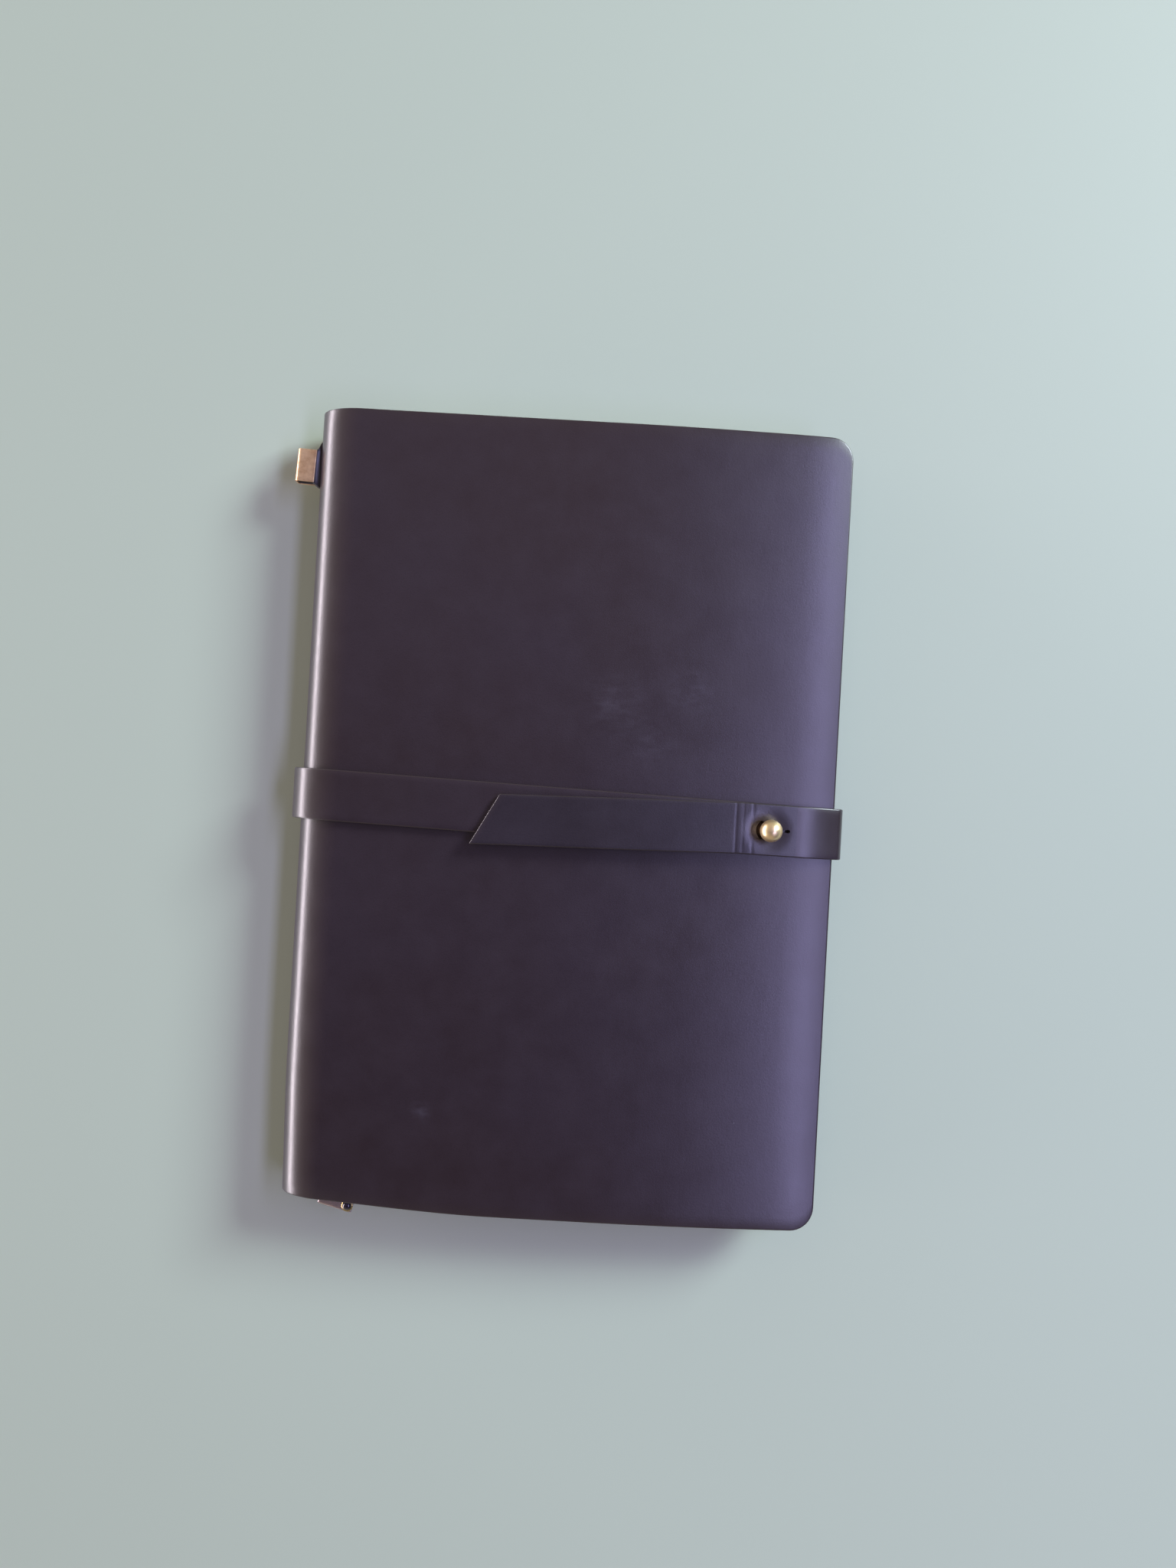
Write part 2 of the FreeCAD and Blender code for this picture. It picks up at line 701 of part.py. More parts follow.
def parts():
    """Every node's name and shape, in the cover's own frame."""
    low = dict(nose_low=True, nose_high=False)
    high = dict(nose_low=False, nose_high=True)
    both = dict(nose_low=True, nose_high=True)
    return {
        "front_cover": front_cover(),
        "spine": spine(),
        "back_cover": back_cover(),
        "strap_front_run": strap_front_run(),
        "strap_spine_run": strap_spine_run(),
        "strap_back_run": strap_back_run(),
        "strap_fore_run": strap_fore_run(),
        "strap_tail": strap_tail(),
        "strap_tip": strap_tip(),
        "stud_ball": stud_ball(),
        "stud_screw": stud_screw(),
        "pen_loop": pen_loop(),
        "pen_loop_tab": pen_loop_tab(),
        "pen_loop_crimp": pen_loop_crimp(),
        "booklet_1_cover": booklet_cover(*booklet_1_z, **both, number=1, play=cord_play),
        "booklet_1_pages": booklet_pages(*booklet_1_z, **both, number=1, play=cord_play),
        "booklet_2_front_cover": booklet_cover(*booklet_2_front_z, **high, number=2, play=cord_play),
        "booklet_2_front_pages": booklet_pages(*booklet_2_front_z, **high, number=2, play=cord_play),
        "booklet_2_back_cover": booklet_cover(*booklet_2_back_z, **low, number=2, play=cord_play),
        "booklet_2_back_pages": booklet_pages(*booklet_2_back_z, **low, number=2, play=cord_play),
        "booklet_3_cover": booklet_cover(*booklet_3_z, **both, number=3, play=cord_play),
        "booklet_3_pages": booklet_pages(*booklet_3_z, **both, number=3, play=cord_play),
        "booklet_1_staples": staples(sum(booklet_1_z) / 2, fold_x - staple_wire_r),
        "booklet_2_staples": staples(booklet_2_back_z[1] - 2 * staple_wire_r, fold_x - staple_wire_r),
        "booklet_3_staples": staples(sum(booklet_3_z) / 2, fold_x - staple_wire_r),
        "elastic_cord_1": elastic_cord(1),
        "elastic_cord_2": elastic_cord(2),
        "elastic_cord_3": elastic_cord(3),
        "elastic_bridge_head": elastic_bridge(1),
        "elastic_bridge_foot": elastic_bridge(-1),
        "bookmark_ribbon": bookmark_ribbon(),
        "bookmark_clamp": bookmark_clamp(),
        "bookmark_bead": bookmark_bead(),
    }


def stored_shift(shapes):
    """The move that puts the origin under the middle of the whole object's box."""
    box = FreeCAD.BoundBox()
    for shape in shapes.values():
        box.add(shape.optimalBoundingBox(False, False))
    return Vector(-box.Center.x, -box.Center.y, -box.ZMin)


def main():
    os.makedirs("parts", exist_ok=True)
    shapes = parts()
    shift = stored_shift(shapes)
    for name, shape in shapes.items():
        shape.translate(shift)
        shape.exportStep(f"parts/{name}.step")
    return shift


if __name__ == "__main__":
    shift = main()
    print("moved by", [round(v, 4) for v in shift])
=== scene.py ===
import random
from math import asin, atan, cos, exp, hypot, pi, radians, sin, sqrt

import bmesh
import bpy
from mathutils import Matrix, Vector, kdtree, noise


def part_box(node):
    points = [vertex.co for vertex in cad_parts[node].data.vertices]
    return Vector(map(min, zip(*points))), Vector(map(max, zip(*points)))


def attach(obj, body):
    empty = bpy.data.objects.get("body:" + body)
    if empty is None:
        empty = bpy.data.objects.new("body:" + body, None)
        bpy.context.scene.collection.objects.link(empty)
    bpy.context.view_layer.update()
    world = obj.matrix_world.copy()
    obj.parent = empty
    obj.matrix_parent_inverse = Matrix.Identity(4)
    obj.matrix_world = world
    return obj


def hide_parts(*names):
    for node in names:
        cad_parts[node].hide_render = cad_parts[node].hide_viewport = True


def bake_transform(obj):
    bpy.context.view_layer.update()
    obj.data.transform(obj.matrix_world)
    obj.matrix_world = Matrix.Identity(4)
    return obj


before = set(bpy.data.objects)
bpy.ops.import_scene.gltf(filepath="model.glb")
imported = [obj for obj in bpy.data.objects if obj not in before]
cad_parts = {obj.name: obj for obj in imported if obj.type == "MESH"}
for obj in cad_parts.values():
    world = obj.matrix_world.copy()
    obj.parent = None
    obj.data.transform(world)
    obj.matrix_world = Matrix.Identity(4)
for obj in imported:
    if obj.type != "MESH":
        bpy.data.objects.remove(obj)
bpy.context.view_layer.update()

# The looks of a wrap-around leather notebook cover with three stapled booklets.
# Shapes are drawn in millimetres in the cover's own frame: X from the outermost line of the rolled
# spine, Y from the middle of the cover's height and Z from the underside of the back cover. place()
# takes them to the row frame in metres, from the boxes of the CAD nodes.

MM = 0.001
spine_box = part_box("spine")
back_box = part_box("back_cover")
front_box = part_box("front_cover")
origin = Vector((spine_box[0].x, (back_box[0].y + back_box[1].y) / 2, back_box[0].z))

# Cover
cover_w = (back_box[1].x - origin.x) / MM
cover_h = (back_box[1].y - back_box[0].y) / MM
closed_t = (front_box[1].z - origin.z) / MM
leather_t = 2.0
corner_r = 6.5
rim_r = 0.45  # the rounding of the leather's cut edges
roll_w = 12.5  # the rolled spine is half an ellipse, this wide
half_t = closed_t / 2
fore_drop = 3.4  # how far the strap pulls the front cover down at the fore-edge
drop_start_x = 82.0
corner_lift = 0.14  # the share of that fall which the head and the foot don't take
wave_height = 0.11
roll_fall = (0.9, 9.0, 32.0)  # how far the roll sinks at the foot, and its reach in Y and in X
roll_tuck = (0.8, 40.0)  # how far its outermost line is pushed in there, and the reach in Y
foot_trim = (2.3, 60.0)  # how much shorter the sheet is at the foot of the roll, and the reach in X
edge_fall = ((0.62, 12.0), (0.12, 4.0))  # the outer face's rounding at the fore-edge, and at head and foot
recess_r = 4.1  # the hollow inside the front cover for the stud's screw

# Booklets
page_w = 139.7
page_h = 215.9
page_corner_r = 4.0
fold_x = 9.0
nose_x = 14.0  # the pages bend towards their fold from here
kraft_t = 0.26
leaf_t = 0.125
split_x = 30.0  # booklet 2's leaves are rigid from here to the fore-edge
booklet_1 = dict(z0=10.75, z1=14.95, low=12.85, high=12.85, cord=(11.9, 12.85), leaves=11)
booklet_2 = dict(z0=6.05, z1=10.45, low=8.0, high=8.5, cord=(11.2, 7.6), leaves=10)
booklet_3 = dict(z0=2.0, z1=6.0, low=4.0, high=4.0, cord=(11.9, 4.0), leaves=11)

# Strap
strap_w = 14.3
strap_t = 2.0
strap_rim = 0.38
strap_y_spine = 3.3
strap_y_fore = -0.1
strap_slack = 0.5  # how far it stands off the spine
fore_x = cover_w + 0.3 + strap_t  # the outer face of the strap at the fore-edge
base_end_x = 139.5
tail_gap = 0.2
crease_x = 125.0
crease_lines = ((123.4, 0.05, 0.3), (125.4, 0.03, 0.25), (128.1, 0.045, 0.35))  # place, depth and half width
tail_y_crease = 0.35
dimple_depth = 0.7
dimple_reach = 7.5
tail_end = (53.6, -1.05)
tail_slant = 0.545
under_split_x = 100.0
fore_split_z = 7.0
tail_split_x = 141.5

# Stud, pen loop and bookmark
stud_x = 132.2
stud_y = 0.05
ball_r = 3.1
neck_r = 1.6
loop_y = 97.7
loop_w = 13.4
loop_wall = 0.8
crimp_w = 5.4
crimp_h = 9.3
crimp_t = 4.4
crimp_wall = 0.55
crimp_start = 1.25
tab_lean = radians(3.0)
tab_shift = (0.3, 0.85)  # how far it stands outwards and towards the foot
cord_r = 0.8
braid_pitch = 1.6  # of the threads round the cord
cord_hole_y = (105.6, 109.2)
gutter_x = 7.6
hook_r = 1.6
hole_turn = radians(29)  # the cords' holes, below the spine's outermost line
ribbon_w = 8.0
ribbon_t = 0.22
ribbon_x = 17.0
ribbon_z = 8.17
mark_tilt = radians(14)
mark_foot = (17.2, -109.6)  # the middle of the clamp's upper edge
mark_w = 10.0
mark_l = 5.7
mark_t = 1.4
bead_r = 1.2

random.seed(7)


def place(x, y, z):
    return origin + Vector((x, y, z)) * MM


def smooth(t):
    t = min(max(t, 0.0), 1.0)
    return t * t * (3 - 2 * t)


def sag(x, y=0.0):
    """How far the front cover has come down at a place."""
    t = max(0.0, (x - drop_start_x) / (cover_w - drop_start_x))
    return fore_drop * t * t * (1 - corner_lift * (2 * y / cover_h) ** 2)


def level(z, x):
    """Height at x of the surface that is at z beside the spine."""
    share = (z - leather_t) / (closed_t - 2 * leather_t)
    return z - sag(x) * min(max(share, 0.0), 1.0)


def strap_middle(x):
    return strap_y_spine + (strap_y_fore - strap_y_spine) * max(x, 0.0) / cover_w


def spaced(a, b, count):
    """count + 1 numbers from a to b."""
    return [a + (b - a) * i / count for i in range(count + 1)]


# Meshes


def make_object(name, points, faces, lay, material, sharp=40.0):
    """A closed mesh from millimetre points. lay holds each point's place on its flat material: along it,
    across it and into it, which the materials read as their coordinates."""
    mesh = bpy.data.meshes.new(name)
    mesh.from_pydata([place(*p) for p in points], [], faces)
    work = bmesh.new()
    work.from_mesh(mesh)
    bmesh.ops.recalc_face_normals(work, faces=work.faces)
    work.to_mesh(mesh)
    work.free()
    obj = bpy.data.objects.new(name, mesh)
    bpy.context.scene.collection.objects.link(obj)
    finish_mesh(obj, lay, material, sharp)
    return obj


def finish_mesh(obj, lay, material, sharp=40.0):
    mesh = obj.data
    attribute = mesh.attributes.get("lay") or mesh.attributes.new("lay", "FLOAT_VECTOR", "POINT")
    attribute.data.foreach_set("vector", [c * MM for p in lay for c in p])
    mesh.polygons.foreach_set("use_smooth", [True] * len(mesh.polygons))
    mesh.set_sharp_from_angle(angle=radians(sharp))
    mesh.materials.clear()
    mesh.materials.append(material)


def cut_away(obj, cutters, material, sharp=40.0):
    """Takes the cutters out of obj for good. A new vertex takes its lay from the nearest old one."""
    old = [v.co.copy() for v in obj.data.vertices]
    lay = [Vector(a.vector) / MM for a in obj.data.attributes["lay"].data]
    tree = kdtree.KDTree(len(old))
    for i, co in enumerate(old):
        tree.insert(co, i)
    tree.balance()
    for cutter in cutters:
        modifier = obj.modifiers.new("cut", "BOOLEAN")
        modifier.operation = "DIFFERENCE"
        modifier.solver = "EXACT"
        modifier.object = cutter
        graph = bpy.context.evaluated_depsgraph_get()
        mesh = bpy.data.meshes.new_from_object(obj.evaluated_get(graph))
        obj.modifiers.clear()
        obj.data = mesh
    for cutter in cutters:
        bpy.data.objects.remove(cutter)
    places = []
    for v in obj.data.vertices:
        i = tree.find(v.co)[1]
        shift = (v.co - old[i]) / MM
        places.append((lay[i].x + shift.x, lay[i].y + shift.y, lay[i].z))
    finish_mesh(obj, places, material, sharp)
    return obj


def prism(outline, z0, z1, turn=None):
    """A closed prism on an outline of (x, y) points, as a cutter."""
    count = len(outline)
    points = [(x, y, z) for z in (z0, z1) for x, y in outline]
    if turn:
        points = [turn(*p) for p in points]
    faces = [(i, (i + 1) % count, count + (i + 1) % count, count + i) for i in range(count)]
    faces += [tuple(range(count)), tuple(range(count, 2 * count))]
    return make_object("cutter", points, faces, points, bpy.data.materials.new("cutter"))


def round_outline(radius, count):
    turns = [2 * pi * i / count for i in range(count)]
    return [(radius * cos(a), radius * sin(a)) for a in turns]


def skin(rows, size):
    """The faces of a closed body made of rows, each a ring of size points."""
    faces = []
    for i in range(rows - 1):
        for j in range(size):
            k = (j + 1) % size
            faces.append((i * size + j, i * size + k, (i + 1) * size + k, (i + 1) * size + j))
    last = (rows - 1) * size
    return faces + [tuple(range(size)), tuple(range(last, last + size))]


def ring_of(half, thickness, rim, across, tuck):
    """A strip's cross-section as (across, depth) points. tuck draws it in at a rounded end."""
    half = half - tuck
    if rim <= 0:
        return [(-half, 0.0), (half, 0.0), (half, thickness), (-half, thickness)]
    turns = [pi / 2 * i / 4 for i in range(1, 4)]
    outer = [(y, 0.0) for y in spaced(-(half - rim), half - rim, across)]
    right = [(half - rim + rim * sin(a), rim - rim * cos(a)) for a in turns]
    right += [(half, rim), (half, thickness - rim)]
    right += [(half - rim + rim * cos(a), thickness - rim + rim * sin(a)) for a in turns]
    inner = [(-y, thickness) for y, _ in outer]
    left = [(-y, depth) for y, depth in reversed(right)]
    ring = outer + right + inner + left
    return [(y, min(max(depth, tuck), thickness - tuck)) for y, depth in ring]


def band(path, thickness, middle, half, rim, across, hand, slant=None, round_ends=(False, False), s0=0.0):
    """A strip of constant thickness. path lists the (x, z) points of its outer face, with hand saying on
    which side that face looks out. middle and half give its place and half width in Y at an x, and slant
    how far its rows lean there. s0 is where the path starts along its material."""
    rows = []
    run = s0
    count = len(path)
    for i, (x, z) in enumerate(path):
        before = path[max(i - 1, 0)]
        after = path[min(i + 1, count - 1)]
        tx = after[0] - before[0]
        tz = after[1] - before[1]
        size = hypot(tx, tz)
        if i:
            run += hypot(x - before[0], z - before[1])
        rows.append([x, z, -tz / size * hand, tx / size * hand, run, 0.0, tx / size, tz / size])
    for end, wanted in enumerate(round_ends):
        if wanted:
            tip = rows[-1] if end else rows[0]
            sign = 1 if end else -1
            extra = []
            for angle in (30, 60, 90):
                step = rim * sin(radians(angle)) * sign
                tuck = rim * (1 - cos(radians(angle))) * 0.9
                moved = [tip[0] + tip[6] * step, tip[1] + tip[7] * step]
                extra.append(moved + tip[2:4] + [tip[4] + step, tuck] + tip[6:])
            rows = rows + extra if end else extra[::-1] + rows
    points = []
    lay = []
    for x, z, nx, nz, run, tuck, _, _ in rows:
        lean = slant(x) if slant else 0.0
        for y, depth in ring_of(half(x), thickness, rim, across, tuck):
            points.append((x - nx * depth + lean * y, middle(x) + y, z - nz * depth))
            lay.append((run, middle(x) + y, depth))
    return points, skin(len(rows), len(points) // len(rows)), lay


def together(meshes):
    """Several (points, faces, lay) as one."""
    points, faces, lay = [], [], []
    for more_points, more_faces, more_lay in meshes:
        start = len(points)
        points += more_points
        faces += [tuple(i + start for i in face) for face in more_faces]
        lay += more_lay
    return points, faces, lay


def tube(line, radius, sides, shape):
    """A round tube along (x, y, z) points. shape gives the change in radius from place to place."""
    line = [Vector(p) for p in line]
    points, lay = [], []
    run = 0.0
    side = None
    for i, here in enumerate(line):
        ahead = (line[min(i + 1, len(line) - 1)] - line[max(i - 1, 0)]).normalized()
        side = (side or ahead.orthogonal()) - ahead * (side or ahead.orthogonal()).dot(ahead)
        side.normalize()
        other = ahead.cross(side)
        if i:
            run += (here - line[i - 1]).length
        for j in range(sides):
            angle = 2 * pi * j / sides
            size = radius * shape(run, angle)
            points.append(tuple(here + (side * cos(angle) + other * sin(angle)) * size))
            lay.append((run, radius * angle, 0.0))
    return points, skin(len(line), sides), lay


def lathe(profile, turn, sides=56):
    """Turns a closed (radius, height) profile about an upright axis; turn takes its points into place."""
    points = [turn(0.0, 0.0, profile[0][1])]
    lay = [(0.0, 0.0, 0.0)]
    for r, h in profile[1:-1]:
        for j in range(sides):
            angle = 2 * pi * j / sides
            points.append(turn(r * cos(angle), r * sin(angle), h))
            lay.append((r * cos(angle), r * sin(angle), h))
    points.append(turn(0.0, 0.0, profile[-1][1]))
    lay.append((0.0, 0.0, profile[-1][1]))
    rows = len(profile) - 2
    faces = [tuple(i + 1 for i in face) for face in skin(rows, sides)[:-2]]
    last = 1 + (rows - 1) * sides
    for j in range(sides):
        k = (j + 1) % sides
        faces.append((0, 1 + k, 1 + j))
        faces.append((len(points) - 1, last + j, last + k))
    return points, faces, lay


# Materials


def add(tree, kind, inputs=None, **settings):
    """A shader node, with its inputs set to values or linked to sockets."""
    made = tree.nodes.new(kind)
    for name, value in settings.items():
        setattr(made, name, value)
    for name, value in (inputs or {}).items():
        if isinstance(value, bpy.types.NodeSocket):
            tree.links.new(value, made.inputs[name])
        else:
            made.inputs[name].default_value = value
    return made


def new_material(name):
    material = bpy.data.materials.new(name)
    material.use_nodes = True
    tree = material.node_tree
    return material, tree, tree.nodes["Principled BSDF"]


def lay_of(tree):
    return add(tree, "ShaderNodeAttribute", attribute_name="lay").outputs["Vector"]


def object_place(tree):
    return add(tree, "ShaderNodeTexCoord").outputs["Object"]


def noise_of(tree, place_socket, scale, detail=3.0, rough=0.5, stretch=None):
    if stretch:
        inputs = {"Vector": place_socket, "Scale": stretch}
        place_socket = add(tree, "ShaderNodeMapping", inputs).outputs["Vector"]
    inputs = {"Vector": place_socket, "Scale": scale, "Detail": detail, "Roughness": rough}
    return add(tree, "ShaderNodeTexNoise", inputs).outputs["Fac"]


def span(tree, value, low, high, to_low=0.0, to_high=1.0):
    inputs = {"Value": value, "From Min": low, "From Max": high, "To Min": to_low, "To Max": to_high}
    return add(tree, "ShaderNodeMapRange", inputs).outputs["Result"]


def maths(tree, kind, a, b=0.0):
    return add(tree, "ShaderNodeMath", {0: a, 1: b}, operation=kind).outputs["Value"]


def mixed(tree, factor, a, b):
    """Two colours, given as (r, g, b) or sockets, mixed by a socket's value."""
    a, b = ((*c, 1.0) if isinstance(c, tuple) else c for c in (a, b))
    return add(tree, "ShaderNodeMix", {0: factor, 6: a, 7: b}, data_type="RGBA").outputs[2]


def times(colour, factor):
    return tuple(c * factor for c in colour)


def parts_of(tree, vector):
    return add(tree, "ShaderNodeSeparateXYZ", {0: vector}).outputs


def mixed_value(tree, factor, a, b):
    return add(tree, "ShaderNodeMix", {0: factor, 2: a, 3: b}, data_type="FLOAT").outputs[0]


def bumped(tree, shader, height, distance, strength=1.0, below=None):
    inputs = {"Height": height, "Distance": distance, "Strength": strength}
    if below is not None:
        inputs["Normal"] = below
    normal = add(tree, "ShaderNodeBump", inputs).outputs["Normal"]
    tree.links.new(normal, shader.inputs["Normal"])
    return normal


def set_shader(tree, shader, **values):
    for name, value in values.items():
        socket = shader.inputs[name.replace("_", " ")]
        if isinstance(value, bpy.types.NodeSocket):
            tree.links.new(value, socket)
        else:
            socket.default_value = value


def blot(tree, at, x, y, radius):
    """1 at a place on the hide, falling to 0 at radius, in metres."""
    inputs = {0: at, 1: (x, y, 0.0)}
    distance = add(tree, "ShaderNodeVectorMath", inputs, operation="DISTANCE").outputs["Value"]
    return span(tree, distance, 0.0, radius, 1.0, 0.0)


def leather(name, thickness, dark, light, cut, flesh, scuffs=(), pale_end=None):
    """Smooth dyed leather with fine pores, a slow change of tone, scuffs, dust specks, a cut edge and a
    rough flesh side. A scuff has a place, a radius and a strength, and pale_end is where a pale cut starts
    and is full along the strip. Lengths are in millimetres."""
    material, tree, shader = new_material(name)
    at = lay_of(tree)
    along, _, depth = parts_of(tree, at)
    slow = span(tree, noise_of(tree, at, 16.0, 2.0), 0.32, 0.68)
    cloudy = noise_of(tree, at, 95.0, 5.0, 0.62)
    grain = noise_of(tree, at, 2300.0, 2.0, 0.6)
    creased = noise_of(tree, at, 420.0, 4.0, 0.7, (1.0, 0.45, 1.0))
    colour = mixed(tree, slow, dark, light)
    colour = mixed(tree, span(tree, cloudy, 0.35, 0.75, 0.0, 0.35), colour, times(light, 1.3))
    colour = mixed(tree, span(tree, grain, 0.3, 0.5, 0.35, 0.0), colour, times(dark, 0.5))
    rough = span(tree, cloudy, 0.2, 0.8, 0.29, 0.37)
    for x, y, radius, strength in scuffs:
        streaks = span(tree, noise_of(tree, at, 330.0, 3.0, 0.6, (0.55, 1.0, 1.0)), 0.42, 0.7)
        mark = maths(tree, "MULTIPLY", streaks, blot(tree, at, x * MM, y * MM, radius * MM))
        mark = maths(tree, "MULTIPLY", mark, strength)
        colour = mixed(tree, mark, colour, (0.14, 0.125, 0.17))
        rough = maths(tree, "ADD", rough, maths(tree, "MULTIPLY", mark, 0.15))
    dust = add(tree, "ShaderNodeTexVoronoi", {"Vector": at, "Scale": 70.0})
    draw = add(tree, "ShaderNodeSeparateColor", {0: dust.outputs["Color"]}).outputs[0]
    chosen = span(tree, draw, 0.72, 0.74)
    speck = maths(tree, "MULTIPLY", span(tree, dust.outputs["Distance"], 0.009, 0.016, 1.0, 0.0), chosen)
    colour = mixed(tree, maths(tree, "MULTIPLY", speck, 0.55), colour, (0.42, 0.40, 0.42))
    t = thickness * MM
    below_grain = span(tree, depth, t * 0.04, t * 0.17)
    above_flesh = span(tree, depth, t * 0.83, t * 0.97, 1.0, 0.0)
    edge = maths(tree, "MULTIPLY", below_grain, above_flesh)
    layers = noise_of(tree, at, 900.0, 3.0, 0.6, (0.35, 0.35, 4.0))
    edge_colour = mixed(tree, layers, cut, times(cut, 0.55))
    if pale_end:
        near_end = span(tree, along, pale_end[0] * MM, pale_end[1] * MM)
        edge_colour = mixed(tree, near_end, edge_colour, (0.36, 0.31, 0.35))
    colour = mixed(tree, edge, colour, edge_colour)
    nap = noise_of(tree, at, 1500.0, 4.0, 0.75)
    clumps = noise_of(tree, at, 240.0, 4.0, 0.7)
    flesh_colour = mixed(tree, nap, flesh, times(flesh, 1.9))
    flesh_colour = mixed(tree, span(tree, clumps, 0.3, 0.7, 0.0, 0.5), flesh_colour, times(flesh, 0.6))
    inside = span(tree, depth, t * 0.86, t * 0.98)
    colour = mixed(tree, inside, colour, flesh_colour)
    rough = mixed_value(tree, edge, rough, 0.55)
    rough = mixed_value(tree, inside, rough, 0.88)
    set_shader(tree, shader, Base_Color=colour, Roughness=rough)
    set_shader(tree, shader, Specular_IOR_Level=0.75, Coat_Weight=0.35, Coat_Roughness=0.28)
    normal = bumped(tree, shader, grain, 0.00005, 0.5)
    normal = bumped(tree, shader, creased, 0.00009, 0.3, normal)
    fuzz = maths(tree, "MULTIPLY", nap, maths(tree, "MAXIMUM", inside, edge))
    bumped(tree, shader, fuzz, 0.00022, 0.9, normal)
    return material


def metal(name, bright, dull, rough, scale=260.0, purity=1.0, painted_shade_below=None, lay=True):
    """Metal with a patina of slow noise and fine scratches. painted_shade_below paints shade on it under
    that height, in
    millimetres: a near-black for the shade round a stud's foot. purity below 1 leaves it a film that
    scatters light."""
    material, tree, shader = new_material(name)
    at = lay_of(tree) if lay else object_place(tree)
    patina = span(tree, noise_of(tree, at, scale, 5.0, 0.6), 0.35, 0.7)
    scratches = noise_of(tree, at, 3000.0, 3.0, 0.6)
    colour = mixed(tree, patina, bright, dull)
    # painted shade: below painted_shade_below the colour goes near-black, for the shade round the stud's
    # foot in the buttonhole
    if painted_shade_below is not None:
        low = span(tree, parts_of(tree, at)[2], painted_shade_below * MM, (painted_shade_below + 0.5) * MM, 1.0, 0.0)
        colour = mixed(tree, low, colour, (0.035, 0.022, 0.015))
    value = span(tree, patina, 0.0, 1.0, *rough)
    value = maths(tree, "ADD", value, span(tree, scratches, 0.3, 0.7, -0.04, 0.05))
    set_shader(tree, shader, Base_Color=colour, Roughness=value, Metallic=purity)
    bumped(tree, shader, scratches, 0.00002, 0.5)
    return material


def paper(name, pale, shade, fibre_scale):
    """Paper or card, with fibres and a slow change of tone."""
    material, tree, shader = new_material(name)
    at = lay_of(tree)
    fibres = noise_of(tree, at, fibre_scale, 4.0, 0.7, (1.0, 0.3, 1.0))
    slow = noise_of(tree, at, 30.0, 3.0)
    colour = mixed(tree, span(tree, fibres, 0.3, 0.75), pale, shade)
    colour = mixed(tree, span(tree, slow, 0.3, 0.7, 0.0, 0.35), colour, times(pale, 0.93))
    set_shader(tree, shader, Base_Color=colour, Roughness=0.85, Sheen_Weight=0.04)
    bumped(tree, shader, fibres, 0.00004, 0.4)
    return material


def woven(name, colour_a, colour_b, pitch):
    """A plain weave of threads along and across the strip."""
    material, tree, shader = new_material(name)
    at = lay_of(tree)
    along, across, _ = parts_of(tree, at)
    warp = maths(tree, "SINE", maths(tree, "MULTIPLY", along, 2 * pi / pitch))
    weft = maths(tree, "SINE", maths(tree, "MULTIPLY", across, 2 * pi / pitch))
    weave = maths(tree, "MULTIPLY", warp, weft)
    threads = span(tree, weave, -0.6, 0.6)
    slow = noise_of(tree, at, 200.0, 3.0)
    colour = mixed(tree, threads, colour_a, colour_b)
    colour = mixed(tree, span(tree, slow, 0.3, 0.7, 0.0, 0.3), colour, times(colour_a, 0.7))
    set_shader(tree, shader, Base_Color=colour, Roughness=0.55, Sheen_Weight=0.35, Sheen_Roughness=0.4)
    bumped(tree, shader, threads, pitch / 5, 0.7)
    return material


def braided(name):
    """Elastic cord's cover: two sets of threads that cross round it."""
    material, tree, shader = new_material(name)
    at = lay_of(tree)
    along, across, _ = parts_of(tree, at)
    turn = maths(tree, "MULTIPLY", across, 4 / (cord_r * MM))
    step = maths(tree, "MULTIPLY", along, 2 * pi / (braid_pitch * MM))
    one = maths(tree, "SINE", maths(tree, "ADD", step, turn))
    two = maths(tree, "SINE", maths(tree, "SUBTRACT", step, turn))
    threads = maths(tree, "MAXIMUM", one, two)
    colour = mixed(tree, span(tree, threads, -0.2, 1.0), (0.006, 0.006, 0.007), (0.035, 0.033, 0.036))
    flecks = noise_of(tree, at, 2500.0, 2.0)
    colour = mixed(tree, span(tree, flecks, 0.6, 0.75, 0.0, 0.3), colour, (0.09, 0.09, 0.09))
    set_shader(tree, shader, Base_Color=colour, Roughness=0.62, Sheen_Weight=0.3, Sheen_Roughness=0.5)
    bumped(tree, shader, threads, 0.00014, 0.8)
    return material


def glass_bead(name):
    material, tree, shader = new_material(name)
    at = object_place(tree)
    clouds = noise_of(tree, at, 900.0, 3.0)
    colour = mixed(tree, span(tree, clouds, 0.35, 0.7), (0.006, 0.004, 0.014), (0.022, 0.014, 0.045))
    set_shader(tree, shader, Base_Color=colour, Roughness=0.06, Coat_Weight=1.0, Coat_Roughness=0.02)
    return material


cover_leather = leather(
    "cover_leather", leather_t, (0.0250, 0.0135, 0.0180), (0.0285, 0.0180, 0.0275),
    (0.030, 0.021, 0.024), (0.045, 0.032, 0.036),
    scuffs=((88, 33, 11, 0.20), (109, 38, 8, 0.22), (99, 22, 9, 0.14), (40, -84, 4, 0.22)),
)
strap_leather = leather(
    "strap_leather", strap_t, (0.0245, 0.0135, 0.0180), (0.0285, 0.0180, 0.0275),
    (0.030, 0.021, 0.026), (0.050, 0.036, 0.040),
)
